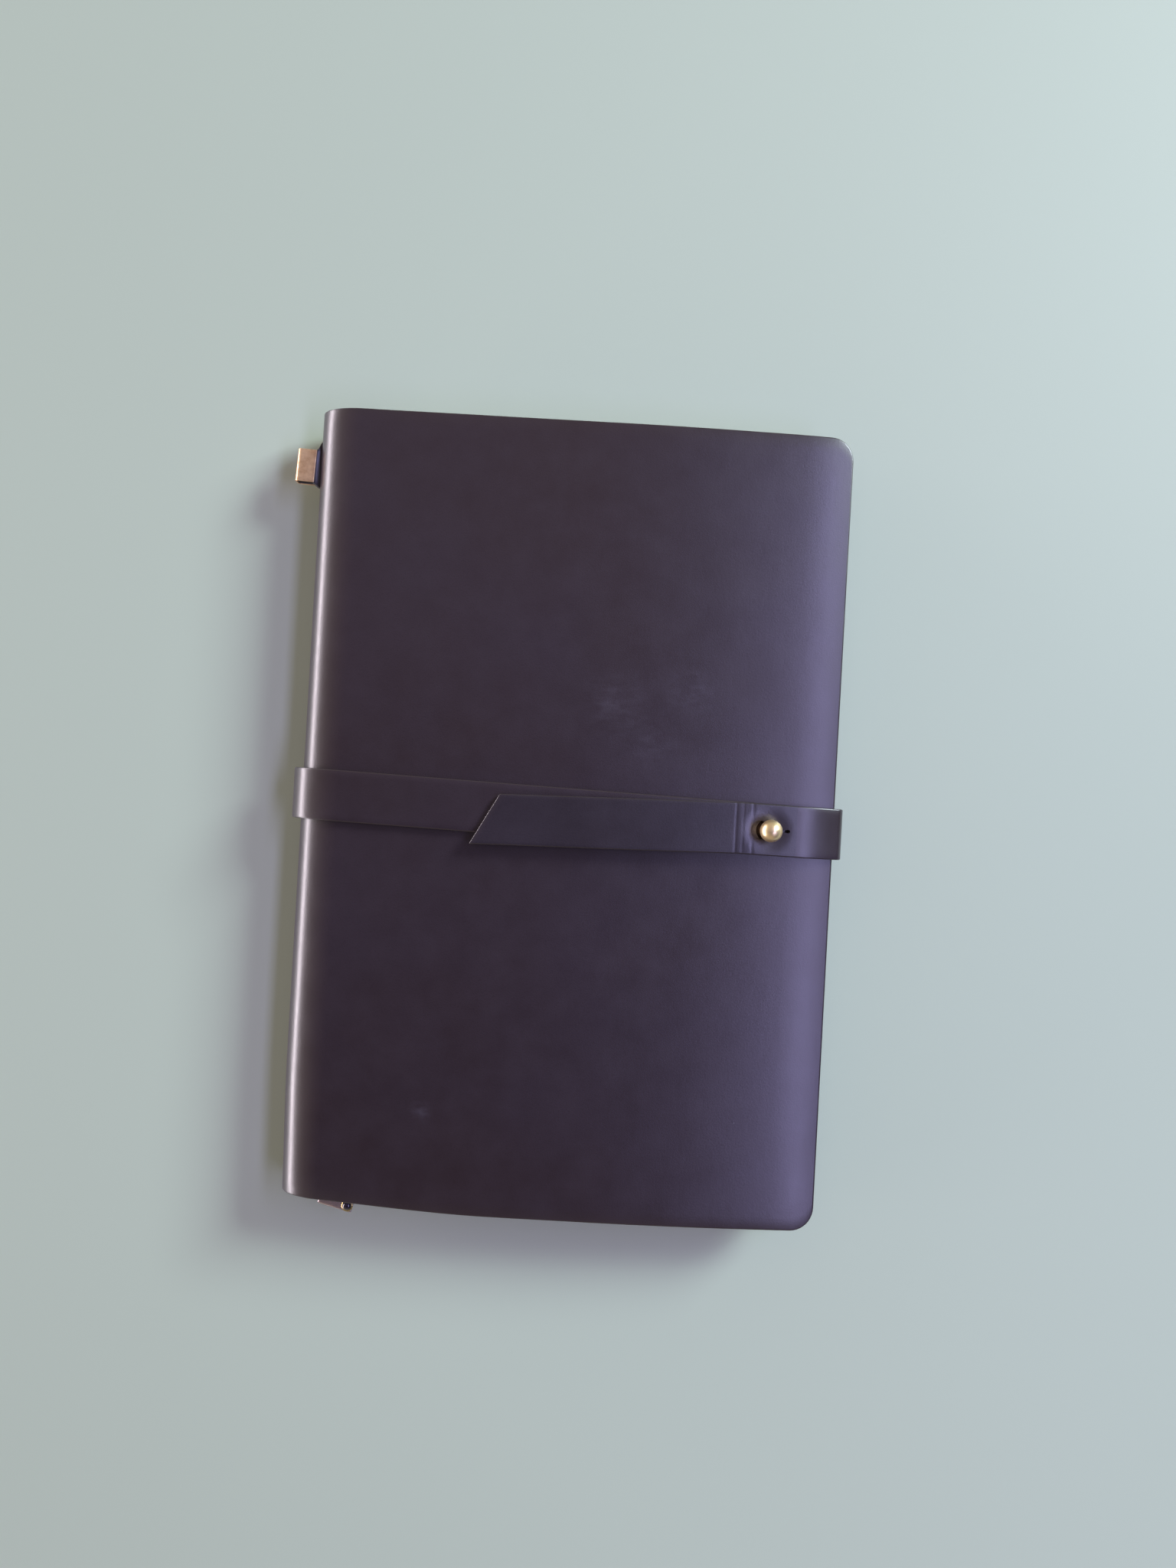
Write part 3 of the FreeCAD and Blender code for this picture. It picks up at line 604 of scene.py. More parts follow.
# The tail's leather is a darker copy of the strap's: partly a darker burnish, partly painted shade for the
# tail end's dim sheen.
burnished_and_shaded_tail_leather = leather(
    "burnished_and_shaded_tail_leather", strap_t, (0.0165, 0.0110, 0.0175), (0.0240, 0.0165, 0.0265),
    (0.030, 0.021, 0.026), (0.050, 0.036, 0.040), pale_end=(227.0, 228.0),
)
loop_leather = leather(
    "loop_leather", loop_wall, (0.0100, 0.0065, 0.0090), (0.0150, 0.0100, 0.0140),
    (0.018, 0.012, 0.015), (0.030, 0.022, 0.024),
)
# The stud's flange and lower neck get painted shade, near-black below 3 mm.
brass = metal("brass", (1.0, 0.80, 0.47), (0.94, 0.68, 0.38), (0.33, 0.42), purity=0.88, painted_shade_below=3.0)
aged_brass = metal("aged_brass", (1.0, 0.72, 0.46), (0.66, 0.40, 0.22), (0.33, 0.46), 420.0, purity=0.75)
screw_brass = metal("screw_brass", (0.80, 0.58, 0.28), (0.62, 0.42, 0.19), (0.20, 0.34), 500.0, lay=False)
steel = metal("staple_steel", (0.62, 0.62, 0.64), (0.46, 0.46, 0.48), (0.25, 0.40), 700.0, lay=False)
clamp_metal = metal("clamp_metal", (0.72, 0.58, 0.57), (0.42, 0.36, 0.38), (0.28, 0.42), 500.0, purity=0.8)
bezel_metal = metal("bezel_metal", (0.86, 0.70, 0.34), (0.56, 0.44, 0.20), (0.22, 0.36), 800.0)
kraft = paper("kraft", (0.40, 0.265, 0.155), (0.30, 0.19, 0.105), 900.0)
page_paper = paper("page_paper", (0.80, 0.755, 0.65), (0.74, 0.69, 0.58), 1400.0)
elastic = braided("elastic")
ribbon_weave = woven("ribbon_weave", (0.055, 0.040, 0.048), (0.11, 0.085, 0.10), 0.00045)
bead_glass = glass_bead("bead_glass")


# Leather cover


def roll(turn):
    """A point of the rolled spine's upper half and its outward direction: 0 is outermost, pi / 2 the top."""
    x = roll_w * (1 - cos(turn))
    z = half_t * (1 + sin(turn))
    nx = -cos(turn) / roll_w
    nz = sin(turn) / half_t
    size = hypot(nx, nz)
    return x, z, nx / size, nz / size


def waves(x, y):
    """The leather's slow unevenness, fading out at the roll and under the strap."""
    broad = noise.noise(Vector((x / 34.0, y / 42.0, 3.7)))
    narrow = noise.noise(Vector((x / 15.0, y / 17.0, 9.1)))
    off_roll = smooth((x - roll_w) / 18.0)
    off_strap = smooth((abs(y - strap_middle(x)) - strap_w / 2) / 10.0)
    return wave_height * (broad + 0.4 * narrow) * off_roll * off_strap


def rounding(x, y):
    """How far the outer face has come down near the front cover's cut edges."""
    (fore, fore_reach), (side, side_reach) = edge_fall
    fall = fore * max(0.0, 1 - (cover_w - x) / fore_reach) ** 2
    return fall + side * max(0.0, 1 - (cover_h / 2 - abs(y)) / side_reach) ** 2 * smooth((x - roll_w) / 10.0)


def corner_fall(x, y):
    """How far the roll has sunk at the foot, beyond the ends of the booklets."""
    depth, reach_y, reach_x = roll_fall
    return depth * smooth(1 - (cover_h / 2 + y) / reach_y) * smooth(1 - x / reach_x)


def cut_y(v, half, x):
    """The sheet's place in Y at v, from -1 at the foot to 1 at the head."""
    return v * half + foot_trim[0] * smooth(1 - x / foot_trim[1]) * max(0.0, -v) ** 3


def cover_rows():
    """The rows of the cover's mesh, from the middle of the spine to the fore-edge."""
    rows = [("roll", radians(a)) for a in (0.0, 0.8, 2.5, 5.0)]
    rows += [("roll", radians(a)) for a in spaced(9.0, 90.0, 20)]
    rows += [("flat", x) for x in spaced(roll_w, cover_w - corner_r, 40)[1:]]
    rows += [("corner", radians(a)) for a in spaced(0.0, 90.0, 10)[1:]]
    return rows


def cover_point(row, v, depth, inset, front):
    """Where a row meets v, from -1 at the foot to 1 at the head, at a depth in the leather."""
    kind, value = row
    half = cover_h / 2 - inset
    if kind == "roll":
        x, z, nx, nz = roll(value)
        y = cut_y(v, half, x)
        z -= corner_fall(x, y) * sin(value)
        x += roll_tuck[0] * smooth(1 - (cover_h / 2 + y) / roll_tuck[1]) * cos(value)
    else:
        x = value
        if kind == "corner":
            x = cover_w - corner_r + (corner_r - inset) * sin(value)
            half = cover_h / 2 - corner_r + (corner_r - inset) * cos(value)
        y = cut_y(v, half, x)
        z = closed_t
        nx, nz = 0.0, 1.0
        if front:
            z += waves(x, y) - sag(x, y) - corner_fall(x, y)
            fall = atan(sag(x + 0.5, y) - sag(x - 0.5, y))
            nx, nz = sin(fall), cos(fall)
            z -= rounding(x, y) * (1 - depth / leather_t)
    x -= nx * depth
    z -= nz * depth
    return x, y, z if front else closed_t - z


def cover_half(name, front):
    """The front or the back with its half of the rolled spine, as one closed sheet of leather."""
    rows = cover_rows()
    across = spaced(-1.0, 1.0, 66)
    seam_s = roll_w - sum(
        hypot(*(a - b for a, b in zip(roll(radians(i))[:2], roll(radians(i + 1))[:2]))) for i in range(90)
    )
    points, lay, faces = [], [], []

    def add_point(row, v, depth, inset, run):
        points.append(cover_point(row, v, depth, inset, front))
        lay.append((run if front else 2 * seam_s - run, points[-1][1], depth))
        return len(points) - 1

    runs = [seam_s]
    for a, b in zip(rows, rows[1:]):
        p = cover_point(a, 0, 0, 0, False)
        q = cover_point(b, 0, 0, 0, False)
        runs.append(runs[-1] + hypot(q[0] - p[0], q[2] - p[2]))
    top = [[add_point(r, v, 0.0, rim_r, s) for v in across] for r, s in zip(rows, runs)]
    bottom = [[add_point(r, v, leather_t, rim_r, s) for v in across] for r, s in zip(rows, runs)]
    for grid in (top, bottom):
        for i in range(len(rows) - 1):
            for j in range(len(across) - 1):
                faces.append((grid[i][j], grid[i][j + 1], grid[i + 1][j + 1], grid[i + 1][j]))
    last = len(rows) - 1
    end = len(across) - 1
    rim = [(i, end) for i in range(last)] + [(last, j) for j in range(end, -1, -1)]
    rim += [(i, 0) for i in range(last - 1, -1, -1)]
    turns = [pi / 2 * i / 4 for i in range(1, 5)]
    rounds = [(rim_r * (1 - cos(a)), rim_r * (1 - sin(a))) for a in turns]
    rounds += [(leather_t - depth, inset) for depth, inset in reversed(rounds)]
    loops = [[top[i][j] for i, j in rim]]
    for depth, inset in rounds:
        loops.append([add_point(rows[i], across[j], depth, inset, runs[i]) for i, j in rim])
    loops.append([bottom[i][j] for i, j in rim])
    for one, two in zip(loops, loops[1:]):
        for j in range(len(rim) - 1):
            faces.append((one[j], one[j + 1], two[j + 1], two[j]))
    cap = list(top[0]) + [loop[0] for loop in loops[1:-1]]
    cap += list(reversed(bottom[0])) + [loop[-1] for loop in reversed(loops[1:-1])]
    faces.append(tuple(cap))
    return make_object(name, points, faces, lay, cover_leather)


def slot_cutter():
    """The pen loop's slot, at the spine's outermost line."""
    half = loop_w / 2 + 0.15
    outline = [(-2.0, loop_y - half), (3.2, loop_y - half), (3.2, loop_y + half), (-2.0, loop_y + half)]
    return prism(outline, half_t - loop_wall - 0.12, half_t + loop_wall + 0.12)


def hole_cutter(y):
    """A punched hole for the elastic cord, along the leather's normal on the spine's lower half."""
    x, z, nx, nz = roll(hole_turn)

    def turn(a, b, h):
        return x + nx * h + nz * a, y + b, closed_t - (z + nz * h - nx * a)

    return prism(round_outline(cord_r + 0.12, 32), -3.0, 1.0, turn)


def on_stud(x, y, h):
    """From the stud's own frame, standing on the front cover, to the cover frame."""
    fall = atan(sag(stud_x + 0.5) - sag(stud_x - 0.5))
    return (
        stud_x + x * cos(fall) + h * sin(fall),
        stud_y + y,
        level(closed_t, stud_x) - x * sin(fall) + h * cos(fall),
    )


def leather_cover():
    front = cover_half("front_leather", True)
    recess = prism(round_outline(recess_r, 48), -leather_t - 1.0, -1.0, on_stud)
    cut_away(front, [recess, slot_cutter()], cover_leather)
    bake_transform(front)
    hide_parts("front_cover", "spine")
    back = cover_half("back_leather", False)
    holes = [hole_cutter(side * y) for side in (-1, 1) for y in cord_hole_y]
    cut_away(back, [slot_cutter()] + holes, cover_leather)
    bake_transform(back)
    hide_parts("back_cover")


# Strap


def round_spine(front):
    """The strap's outer face round half of the spine."""
    path = []
    for a in (0.0, 0.8, 2.5, 5.0, *spaced(9.0, 90.0, 18)):
        x, z, nx, nz = roll(radians(a))
        off = strap_t + strap_slack * cos(radians(a)) ** 2
        path.append((x + nx * off, z + nz * off))
    if front:
        return path
    return [(x, closed_t - z) for x, z in path]


def bezier(p0, p1, p2, p3, count):
    made = []
    for t in spaced(0.0, 1.0, count):
        u = 1 - t
        weights = (u ** 3, 3 * u * u * t, 3 * u * t * t, t ** 3)
        made.append(tuple(sum(w * p[i] for w, p in zip(weights, (p0, p1, p2, p3))) for i in range(2)))
    return made


def tail_top(x):
    """The tail's outer face over the front cover, with its creases."""
    dip = sum(depth * exp(-(((x - at) / wide) ** 2)) for at, depth, wide in crease_lines)
    return level(closed_t, x) + 2 * strap_t + tail_gap - dip


def tail_middle(x):
    """The middle of the strap's tail in Y, from the fore-edge to the slanted end."""
    if x > crease_x:
        share = (cover_w - min(x, cover_w)) / (cover_w - crease_x)
        return strap_y_fore + (tail_y_crease - strap_y_fore) * share
    return tail_y_crease + (tail_end[1] - tail_y_crease) * (crease_x - x) / (crease_x - tail_end[0])


def tail_lean(x):
    """The tail's rows lean over towards its tip, down to the slanted cut."""
    return tail_slant * smooth((88.0 - x) / 26.0)


def strap_half(x):
    return strap_w / 2


def strap_piece(name, path, middle, bodies, start, end, replaced, hand, **shape):
    mesh = band(path, strap_t, middle, strap_half, strap_rim, 10, hand, **shape)
    obj = make_object(name, *mesh, strap_leather, 50.0)
    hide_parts(*replaced)
    return obj, bodies, start, end


def keyhole_outline():
    """The buttonhole: worn towards the tip beside the stud, and slit towards the fore-edge."""
    worn_x, worn_r = -2.2, 2.65
    outline = [(worn_x + worn_r * cos(radians(a)), worn_r * sin(radians(a))) for a in range(60, 301, 10)]
    lip = [(0.9, -1.85), (2.0, -1.15), (2.8, -0.7), (3.6, -0.5), (4.8, -0.36)]
    end_x, end_r = 5.65, 0.5
    end = [(end_x + end_r * cos(radians(a)), end_r * sin(radians(a))) for a in range(-120, 121, 20)]
    return outline + lip + end + [(x, -y) for x, y in reversed(lip)]


def dimple(x, y):
    """The strap's tail sinks round the buttonhole, where it is buttoned over the stud's neck."""
    distance = hypot(x - stud_x, y - stud_y)
    return dimple_depth * smooth(1 - distance / dimple_reach)


def fore_paths():
    """The outer faces of the strap up the fore-edge, in two halves, and of its tail."""
    turn = 3.2
    low = [(x, -strap_t) for x in spaced(under_split_x, fore_x - turn, 14)]
    low += bezier((fore_x - turn, -strap_t), (fore_x - 1.4, -strap_t), (fore_x, -0.6), (fore_x, 1.2), 14)[1:]
    low += [(fore_x, z) for z in spaced(1.2, fore_split_z, 6)[1:]]
    top = tail_top(base_end_x)
    corner = (cover_w + 0.4, level(closed_t, cover_w) + strap_t + 0.15)
    high = [(fore_x, z) for z in spaced(fore_split_z, corner[1] - 3.6, 6)]
    knee = bezier(high[-1], (fore_x, corner[1] - 1.4), (corner[0] + 1.1, corner[1] - 0.42), corner, 14)
    slope = bezier(
        corner, (corner[0] - 4.6, corner[1] + 1.86), (tail_split_x + 3.0, top - 0.4),
        (tail_split_x - 1.0, tail_top(tail_split_x - 1.0)), 14
    )
    high += knee[1:] + slope[1:]
    arrival = slope[-1]
    tail = [arrival] + [(x, tail_top(x)) for x in spaced(arrival[0] - 0.4, 120.8, 60)]
    tail += [(x, tail_top(x)) for x in spaced(120.0, tail_end[0] + strap_rim, 44)]
    return low, high, tail


def tail_piece(path):
    """The tail from the fore-edge to the slanted cut, with its buttonhole."""
    points, faces, lay = band(
        path, strap_t, tail_middle, strap_half, strap_rim, 20, -1, tail_lean, (False, True), s0=140.5
    )
    points = [(x, y, z - dimple(x, y)) for x, y, z in points]
    obj = make_object("strap_tail_end", points, faces, lay, burnished_and_shaded_tail_leather, 50.0)
    cut_away(obj, [prism(keyhole_outline(), -1.0, 9.0, on_stud)], burnished_and_shaded_tail_leather, 50.0)
    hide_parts("strap_tail", "strap_tip")
    return obj, ("strap_tail", "strap_tip"), (crease_x + 3.0, 18.0), (crease_x - 3.5, 18.0)


def strap():
    over = round_spine(True)
    over += [(x, level(closed_t, x) + strap_t) for x in spaced(roll_w, base_end_x - strap_rim, 60)[1:]]
    under = round_spine(False) + [(x, -strap_t) for x in spaced(roll_w, under_split_x, 12)[1:]]
    low, high, tail = fore_paths()
    made = [
        strap_piece(
            "strap_over_front", over, strap_middle, ("spine", "front"), (0, half_t), (roll_w, closed_t),
            ["strap_front_run"], 1, round_ends=(False, True)
        ),
        strap_piece(
            "strap_under_back", under, strap_middle, ("back", "spine"), (roll_w, 0), (0, half_t),
            ["strap_spine_run", "strap_back_run"], -1
        ),
        strap_piece(
            "strap_fore_low", low, strap_middle, ("back", "strap_fore"), (149.5, -1.5), (154.0, 4.0),
            ["strap_fore_run"], -1, s0=under_split_x
        ),
        strap_piece(
            "strap_fore_high", high, tail_middle, ("strap_fore", "strap_tail"), (153.8, 11.0), (148.5, 16.5),
            ["strap_tail"], -1
        ),
        tail_piece(tail),
    ]
    for obj, bodies, start, stop in made:
        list(bodies)
        place(start[0], 0, start[1])
        place(stop[0], 0, stop[1])
        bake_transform(obj)


# Ball stud


def stud():
    seat = strap_t - 0.6
    middle = 2 * strap_t + tail_gap + 0.4 + ball_r
    low = asin(neck_r / ball_r)
    profile = [(0.0, seat), (2.9, seat), (3.0, seat + 0.1), (3.0, 1.92), (2.92, 2.05), (2.75, 2.12)]
    profile += [(2.0, 2.16), (1.75, 2.22), (neck_r, 2.45), (neck_r - 0.06, 3.6)]
    for angle in spaced(low, pi, 34):
        profile.append((ball_r * sin(angle), middle - ball_r * cos(angle)))
    points, faces, lay = lathe(profile, on_stud)
    obj = make_object("brass_ball_stud", points, faces, lay, brass, 35.0)
    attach(obj, "front")
    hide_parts("stud_ball")


# Pen loop


def pen_band():
    """The leather band: out of the crimp, through the spine, round the pen's place and back out."""
    middle = half_t
    wall = loop_wall
    tip = -crimp_start - crimp_w + crimp_wall + 0.15
    spread = crimp_t / 2 - crimp_wall - 0.02
    out = [(tip, middle + spread), (-crimp_start - 1.2, middle + spread)]
    out += [(-crimp_start - 0.3, middle + spread - 0.05), (-0.85, middle + 1.3)]
    out += [(-0.2, middle + wall + 0.08), (0.6, middle + wall), (2.2, middle + wall)]
    corner = 1.3
    x0, x1 = 5.6 - 2.1 - wall, 5.6 + 2.1 + wall
    z0, z1 = middle - 2.2 - wall, middle + 2.2 + wall
    ring = [(x0, middle + wall + 0.5)]
    for cx, start in ((x0 + corner, 180), (x1 - corner, 90)):
        turns = [radians(start - a) for a in range(0, 91, 15)]
        ring += [(cx + corner * cos(a), z1 - corner + corner * sin(a)) for a in turns]
    half = out + ring
    return half + [(x, 2 * middle - z) for x, z in reversed(half)]


def band_half(x):
    """The band narrows from the spine into the crimp."""
    inside = loop_w / 2
    held = crimp_h / 2 - 0.12
    return held + (inside - held) * smooth((x + crimp_start + 0.1) / (crimp_start + 0.2))


def crimp_path():
    """The outer face of the folded brass, from its upper free edge round to its lower one."""
    x1, x0 = -crimp_start, -crimp_start - crimp_w
    r = 1.25
    top, foot = half_t + crimp_t / 2, half_t - crimp_t / 2
    path = [(x, top) for x in spaced(x1, x0 + r, 6)]
    path += [(x0 + r - r * sin(radians(a)), top - r + r * cos(radians(a))) for a in spaced(0, 90, 8)[1:]]
    path += [(x0, z) for z in spaced(top - r, foot + r, 4)[1:]]
    path += [(x0 + r - r * cos(radians(a)), foot + r - r * sin(radians(a))) for a in spaced(0, 90, 8)[1:]]
    path += [(x, foot) for x in spaced(x0 + r, x1, 6)[1:]]
    return path


def leaning(points):
    """The tab and its crimp stand a little askew: they turn about the middle of the spine's slot."""
    made = []
    for x, y, z in points:
        share = smooth(-x / crimp_start)
        angle = tab_lean * share
        out, down = (c * share for c in tab_shift)
        across = y - loop_y
        made.append((
            x * cos(angle) + across * sin(angle) - out,
            loop_y + across * cos(angle) - x * sin(angle) - down,
            z,
        ))
    return made


def pen_loop():
    points, faces, lay = band(pen_band(), loop_wall, lambda x: loop_y, band_half, 0.22, 8, 1)
    points = leaning(points)
    leather_band = make_object("pen_loop_band", points, faces, lay, loop_leather, 60.0)
    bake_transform(leather_band)
    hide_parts("pen_loop", "pen_loop_tab")
    points, faces, lay = band(
        crimp_path(), crimp_wall, lambda x: loop_y, lambda x: crimp_h / 2, 0.16, 6, -1, None, (True, True)
    )
    points = leaning(points)
    crimp = make_object("brass_crimp", points, faces, lay, aged_brass, 50.0)
    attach(crimp, "pen_tab")
    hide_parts("pen_loop_crimp")


# Booklets


def leaf_line(book, share, x_end):
    """One folded leaf's outer face in X and Z, from its lower wing's open edge round the fold to its
    upper one's. share is 0 at the outside of the booklet and 1 in its middle."""
    cord_x, cord_z = book["cord"]
    fold_z = (book["low"] + book["high"]) / 2
    tip = fold_x + 1.2 * share

    def wing(x, upper):
        """The wing's height, opened out round the cord."""
        near = smooth(1 - (abs(x - cord_x) - 0.9) / 2.6)
        clear = cord_r + 0.06
        if upper:
            inner = book["high"] + max(cord_z + clear - book["high"], 0.0) * near
            return book["z1"] + (inner - book["z1"]) * share
        inner = book["low"] - max(book["low"] - cord_z + clear, 0.0) * near
        return book["z0"] + (inner - book["z0"]) * share

    xs = spaced(nose_x, drop_start_x, 12)[1:] + spaced(drop_start_x, x_end - page_corner_r, 12)[1:]
    xs += [x_end - page_corner_r + page_corner_r * sin(radians(a)) for a in spaced(0, 90, 7)[1:]]
    path = [(x, level(wing(x, False), x)) for x in reversed(xs)]
    for a in spaced(-90, -12, 11) + spaced(-9, 9, 12) + spaced(12, 90, 11):
        x = nose_x - (nose_x - tip) * cos(radians(a))
        lift = abs(sin(radians(a))) ** 0.7
        path.append((x, fold_z + (wing(x, a > 0) - fold_z) * lift))
    return path + [(x, level(wing(x, True), x)) for x in xs]


def leaf_half(x_end, half):
    def at(x):
        over = max(0.0, x - (x_end - page_corner_r))
        return half - page_corner_r + sqrt(max(page_corner_r ** 2 - over ** 2, 0.0))

    return at


def part_of(path, low_wing, from_x):
    """The stretch of a leaf's line on one wing, beyond from_x."""
    turn = len(path) // 2
    wing = path[:turn] if low_wing else path[turn:]
    return [p for p in wing if p[0] >= from_x - 1e-6]


def leaves(book, part):
    """The booklet's leaves as one mesh. part is whole, fold, low or high."""
    made = []
    count = book["leaves"]
    generator = random.Random(round(book["z0"] * 100))
    for i in range(count):
        share = 0.15 + (0.985 - 0.15) * i / (count - 1)
        trim = generator.uniform(-0.05, 0.05)
        tall = page_h / 2 + generator.uniform(-0.05, 0.03)
        x_end = fold_x + page_w - 0.25 + trim
        made.append(leaf(book, share, x_end, tall, leaf_t, part, 3.0 * i))
    return together(made)


def leaf(book, share, x_end, tall, thickness, part, s0):
    path = leaf_line(book, share, x_end)
    if part == "fold":
        path = [(x, z) for x, z in path if x < split_x]
        path = [(split_x, path[0][1])] + path + [(split_x, path[-1][1])]
    elif part == "low":
        path = part_of(path, True, split_x) + [(split_x, path[len(path) // 4][1])]
    elif part == "high":
        path = [(split_x, path[-(len(path) // 4)][1])] + part_of(path, False, split_x)
    return band(path, thickness, lambda x: 0.0, leaf_half(x_end, tall), 0.0, 1, 1, s0=s0)


def booklet(number, book):
    body = {1: "front", 3: "back"}[number]
    pages = make_object(f"booklet_{number}_leaves", *leaves(book, "whole"), page_paper, 30.0)
    cover = leaf(book, 0.0, fold_x + page_w, page_h / 2, kraft_t, "whole", 0.0)
    wrapper = make_object(f"booklet_{number}_kraft", *cover, kraft, 30.0)
    for obj, node, slot in ((pages, "pages", "paper"), (wrapper, "cover", "kraft")):
        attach(obj, body)
        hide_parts(f"booklet_{number}_{node}")


def middle_booklet():
    """Booklet 2 opens at its middle: beyond split_x its leaves are rigid, the lower wings riding the back
    and the upper ones the leaf, and the stretch round the fold is a piece of its own that stays where it is
    drawn.
    """
    for part, body, side in (("low", "back", "back"), ("high", "leaf", "front"), ("fold", None, "fold")):
        pages = make_object(f"booklet_2_{side}_leaves", *leaves(booklet_2, part), page_paper, 30.0)
        cover = leaf(booklet_2, 0.0, fold_x + page_w, page_h / 2, kraft_t, part, 0.0)
        wrapper = make_object(f"booklet_2_{side}_kraft", *cover, kraft, 30.0)
        for obj, node, slot in ((pages, "pages", "paper"), (wrapper, "cover", "kraft")):
            if body:
                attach(obj, body)
                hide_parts(f"booklet_2_{side}_{node}")
            else:
                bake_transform(obj)


# Elastic cords


def braid(run, angle):
    """How the cord's cover stands proud where its threads cross."""
    step = 2 * pi * run / braid_pitch
    return 1.0 + 0.035 * max(sin(step + 4 * angle), sin(step - 4 * angle))


def arc_points(cx, cy, z, radius, start, end, count, flatten=1.0):
    """An arc in a level plane; flatten below 1 squeezes it in Y."""
    turns = [radians(a) for a in spaced(start, end, count)]
    return [(cx + radius * cos(a), cy + flatten * radius * sin(a), z) for a in turns]


def finely(line, step):
    """The same line with points at most step apart."""
    made = [line[0]]
    for a, b in zip(line, line[1:]):
        length = (Vector(b) - Vector(a)).length
        count = max(1, round(length / step))
        made += [tuple(Vector(a).lerp(Vector(b), i / count)) for i in range(1, count + 1)]
    return made


def cord_hook(cord_x, z):
    """From the spine's inside along the gutter and over the booklet's end, at the head."""
    start_x = roll_w - roll_w * sqrt(1 - ((z - half_t) / half_t) ** 2) + 1.7
    turn_y = page_h / 2 + 0.25
    bend = (cord_x - gutter_x) / 2
    hook = [(start_x, cord_hole_y[0], z)]
    hook += arc_points(gutter_x - hook_r, cord_hole_y[0] + hook_r, z, hook_r, -90, 0, 8)
    hook += arc_points(gutter_x + bend, turn_y, z, bend, 180, 0, 12, 0.5)
    return hook


def elastic_cords():
    places = {1: booklet_1["cord"], 2: booklet_2["cord"], 3: booklet_3["cord"]}
    for number, (cord_x, z) in places.items():
        head = cord_hook(cord_x, z)
        foot = [(x, -y, z) for x, y, z in reversed(head)]
        points, faces, lay = tube(finely(head + foot, 0.4), cord_r, 12, braid)
        obj = make_object(f"elastic_{number}", points, faces, lay, elastic, 60.0)
        if number == 1:
            place(3.6, 0, z)
            place(7.2, 0, z)
            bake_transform(obj)
        else:
            place(7.2, 0, z)
            place(2.2, 0, z)
            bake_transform(obj)
        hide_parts(f"elastic_cord_{number}")


def elastic_bridges():
    """The cords' short stretches outside the spine, between their holes."""
    x, z, nx, nz = roll(hole_turn)
    z, nz = closed_t - z, -nz
    for name, side in (("head", 1), ("foot", -1)):
        y0, y1 = (side * y for y in cord_hole_y)
        out, deep, r = cord_r - 0.1, -1.7, 0.75
        flat = [(deep, y0)] + [
            (out - r + r * sin(radians(a)), y0 + side * r * (1 - cos(radians(a)))) for a in spaced(0, 90, 6)
        ]
        flat += [(h, y1 - (y - y0)) for h, y in reversed(flat)]
        line = [(x + nx * h, y, z + nz * h) for h, y in flat]
        points, faces, lay = tube(finely(line, 0.3), cord_r, 12, braid)
        obj = make_object(f"elastic_outside_{name}", points, faces, lay, elastic, 60.0)
        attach(obj, "spine")
        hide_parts(f"elastic_bridge_{name}")


# Bookmark


def on_mark(x, y, h):
    """From the clamp's own frame, whose origin is the middle of its upper edge, to the cover frame."""
    return (
        mark_foot[0] + x * cos(mark_tilt) + y * sin(mark_tilt),
        mark_foot[1] - x * sin(mark_tilt) + y * cos(mark_tilt),
        ribbon_z + h,
    )


def clamp_mesh():
    """A folded strip of metal: round at its foot, with a pressed line along its upper edge."""
    half = mark_t / 2
    side = [(0.0, half - 0.05), (-0.25, half), (-0.9, half)]
    side += [(-1.1, half - 0.14), (-1.35, half - 0.14), (-1.55, half)]
    side += [(y, half) for y in spaced(-2.2, half - mark_l, 5)]
    side += [(half - mark_l - half * sin(radians(a)), half * cos(radians(a))) for a in spaced(0, 90, 6)[1:]]
    outline = side + [(y, -h) for y, h in reversed(side[:-1])]
    xs = [-mark_w / 2, -mark_w / 2 + 0.12, -mark_w / 2 + 0.3, *spaced(-4.0, 4.0, 6)]
    xs += [mark_w / 2 - 0.3, mark_w / 2 - 0.12, mark_w / 2]
    tucks = [0.22, 0.07, 0.0] + [0.0] * 7 + [0.0, 0.07, 0.22]
    points, lay = [], []
    for x, tuck in zip(xs, tucks):
        for y, h in outline:
            shrink = 1 - tuck / half
            points.append(on_mark(x, -mark_l / 2 + (y + mark_l / 2) * (1 - tuck / mark_l), h * shrink))
            lay.append((x, y, h))
    return points, skin(len(xs), len(outline)), lay


def ribbon_mesh():
    """The ribbon between the pages, from above their head to below their foot, waving a little."""
    top, foot = page_h / 2 + 2.0, -page_h / 2 - 3.0
    half, t = ribbon_w / 2, ribbon_t / 2
    section = [(-half, -t), (0.0, -t), (half, -t), (half, t), (0.0, t), (-half, t)]
    rows = 90
    points, lay = [], []
    for i, y in enumerate(spaced(top, foot, rows)):
        x = ribbon_x + 0.2 * i / rows + 0.12 * sin(y / 17.0)
        z = ribbon_z + 0.02 * sin(y / 9.0)
        points += [(x + across, y, z + h) for across, h in section]
        lay += [(y, across, h) for across, h in section]
    return points, skin(rows + 1, len(section)), lay


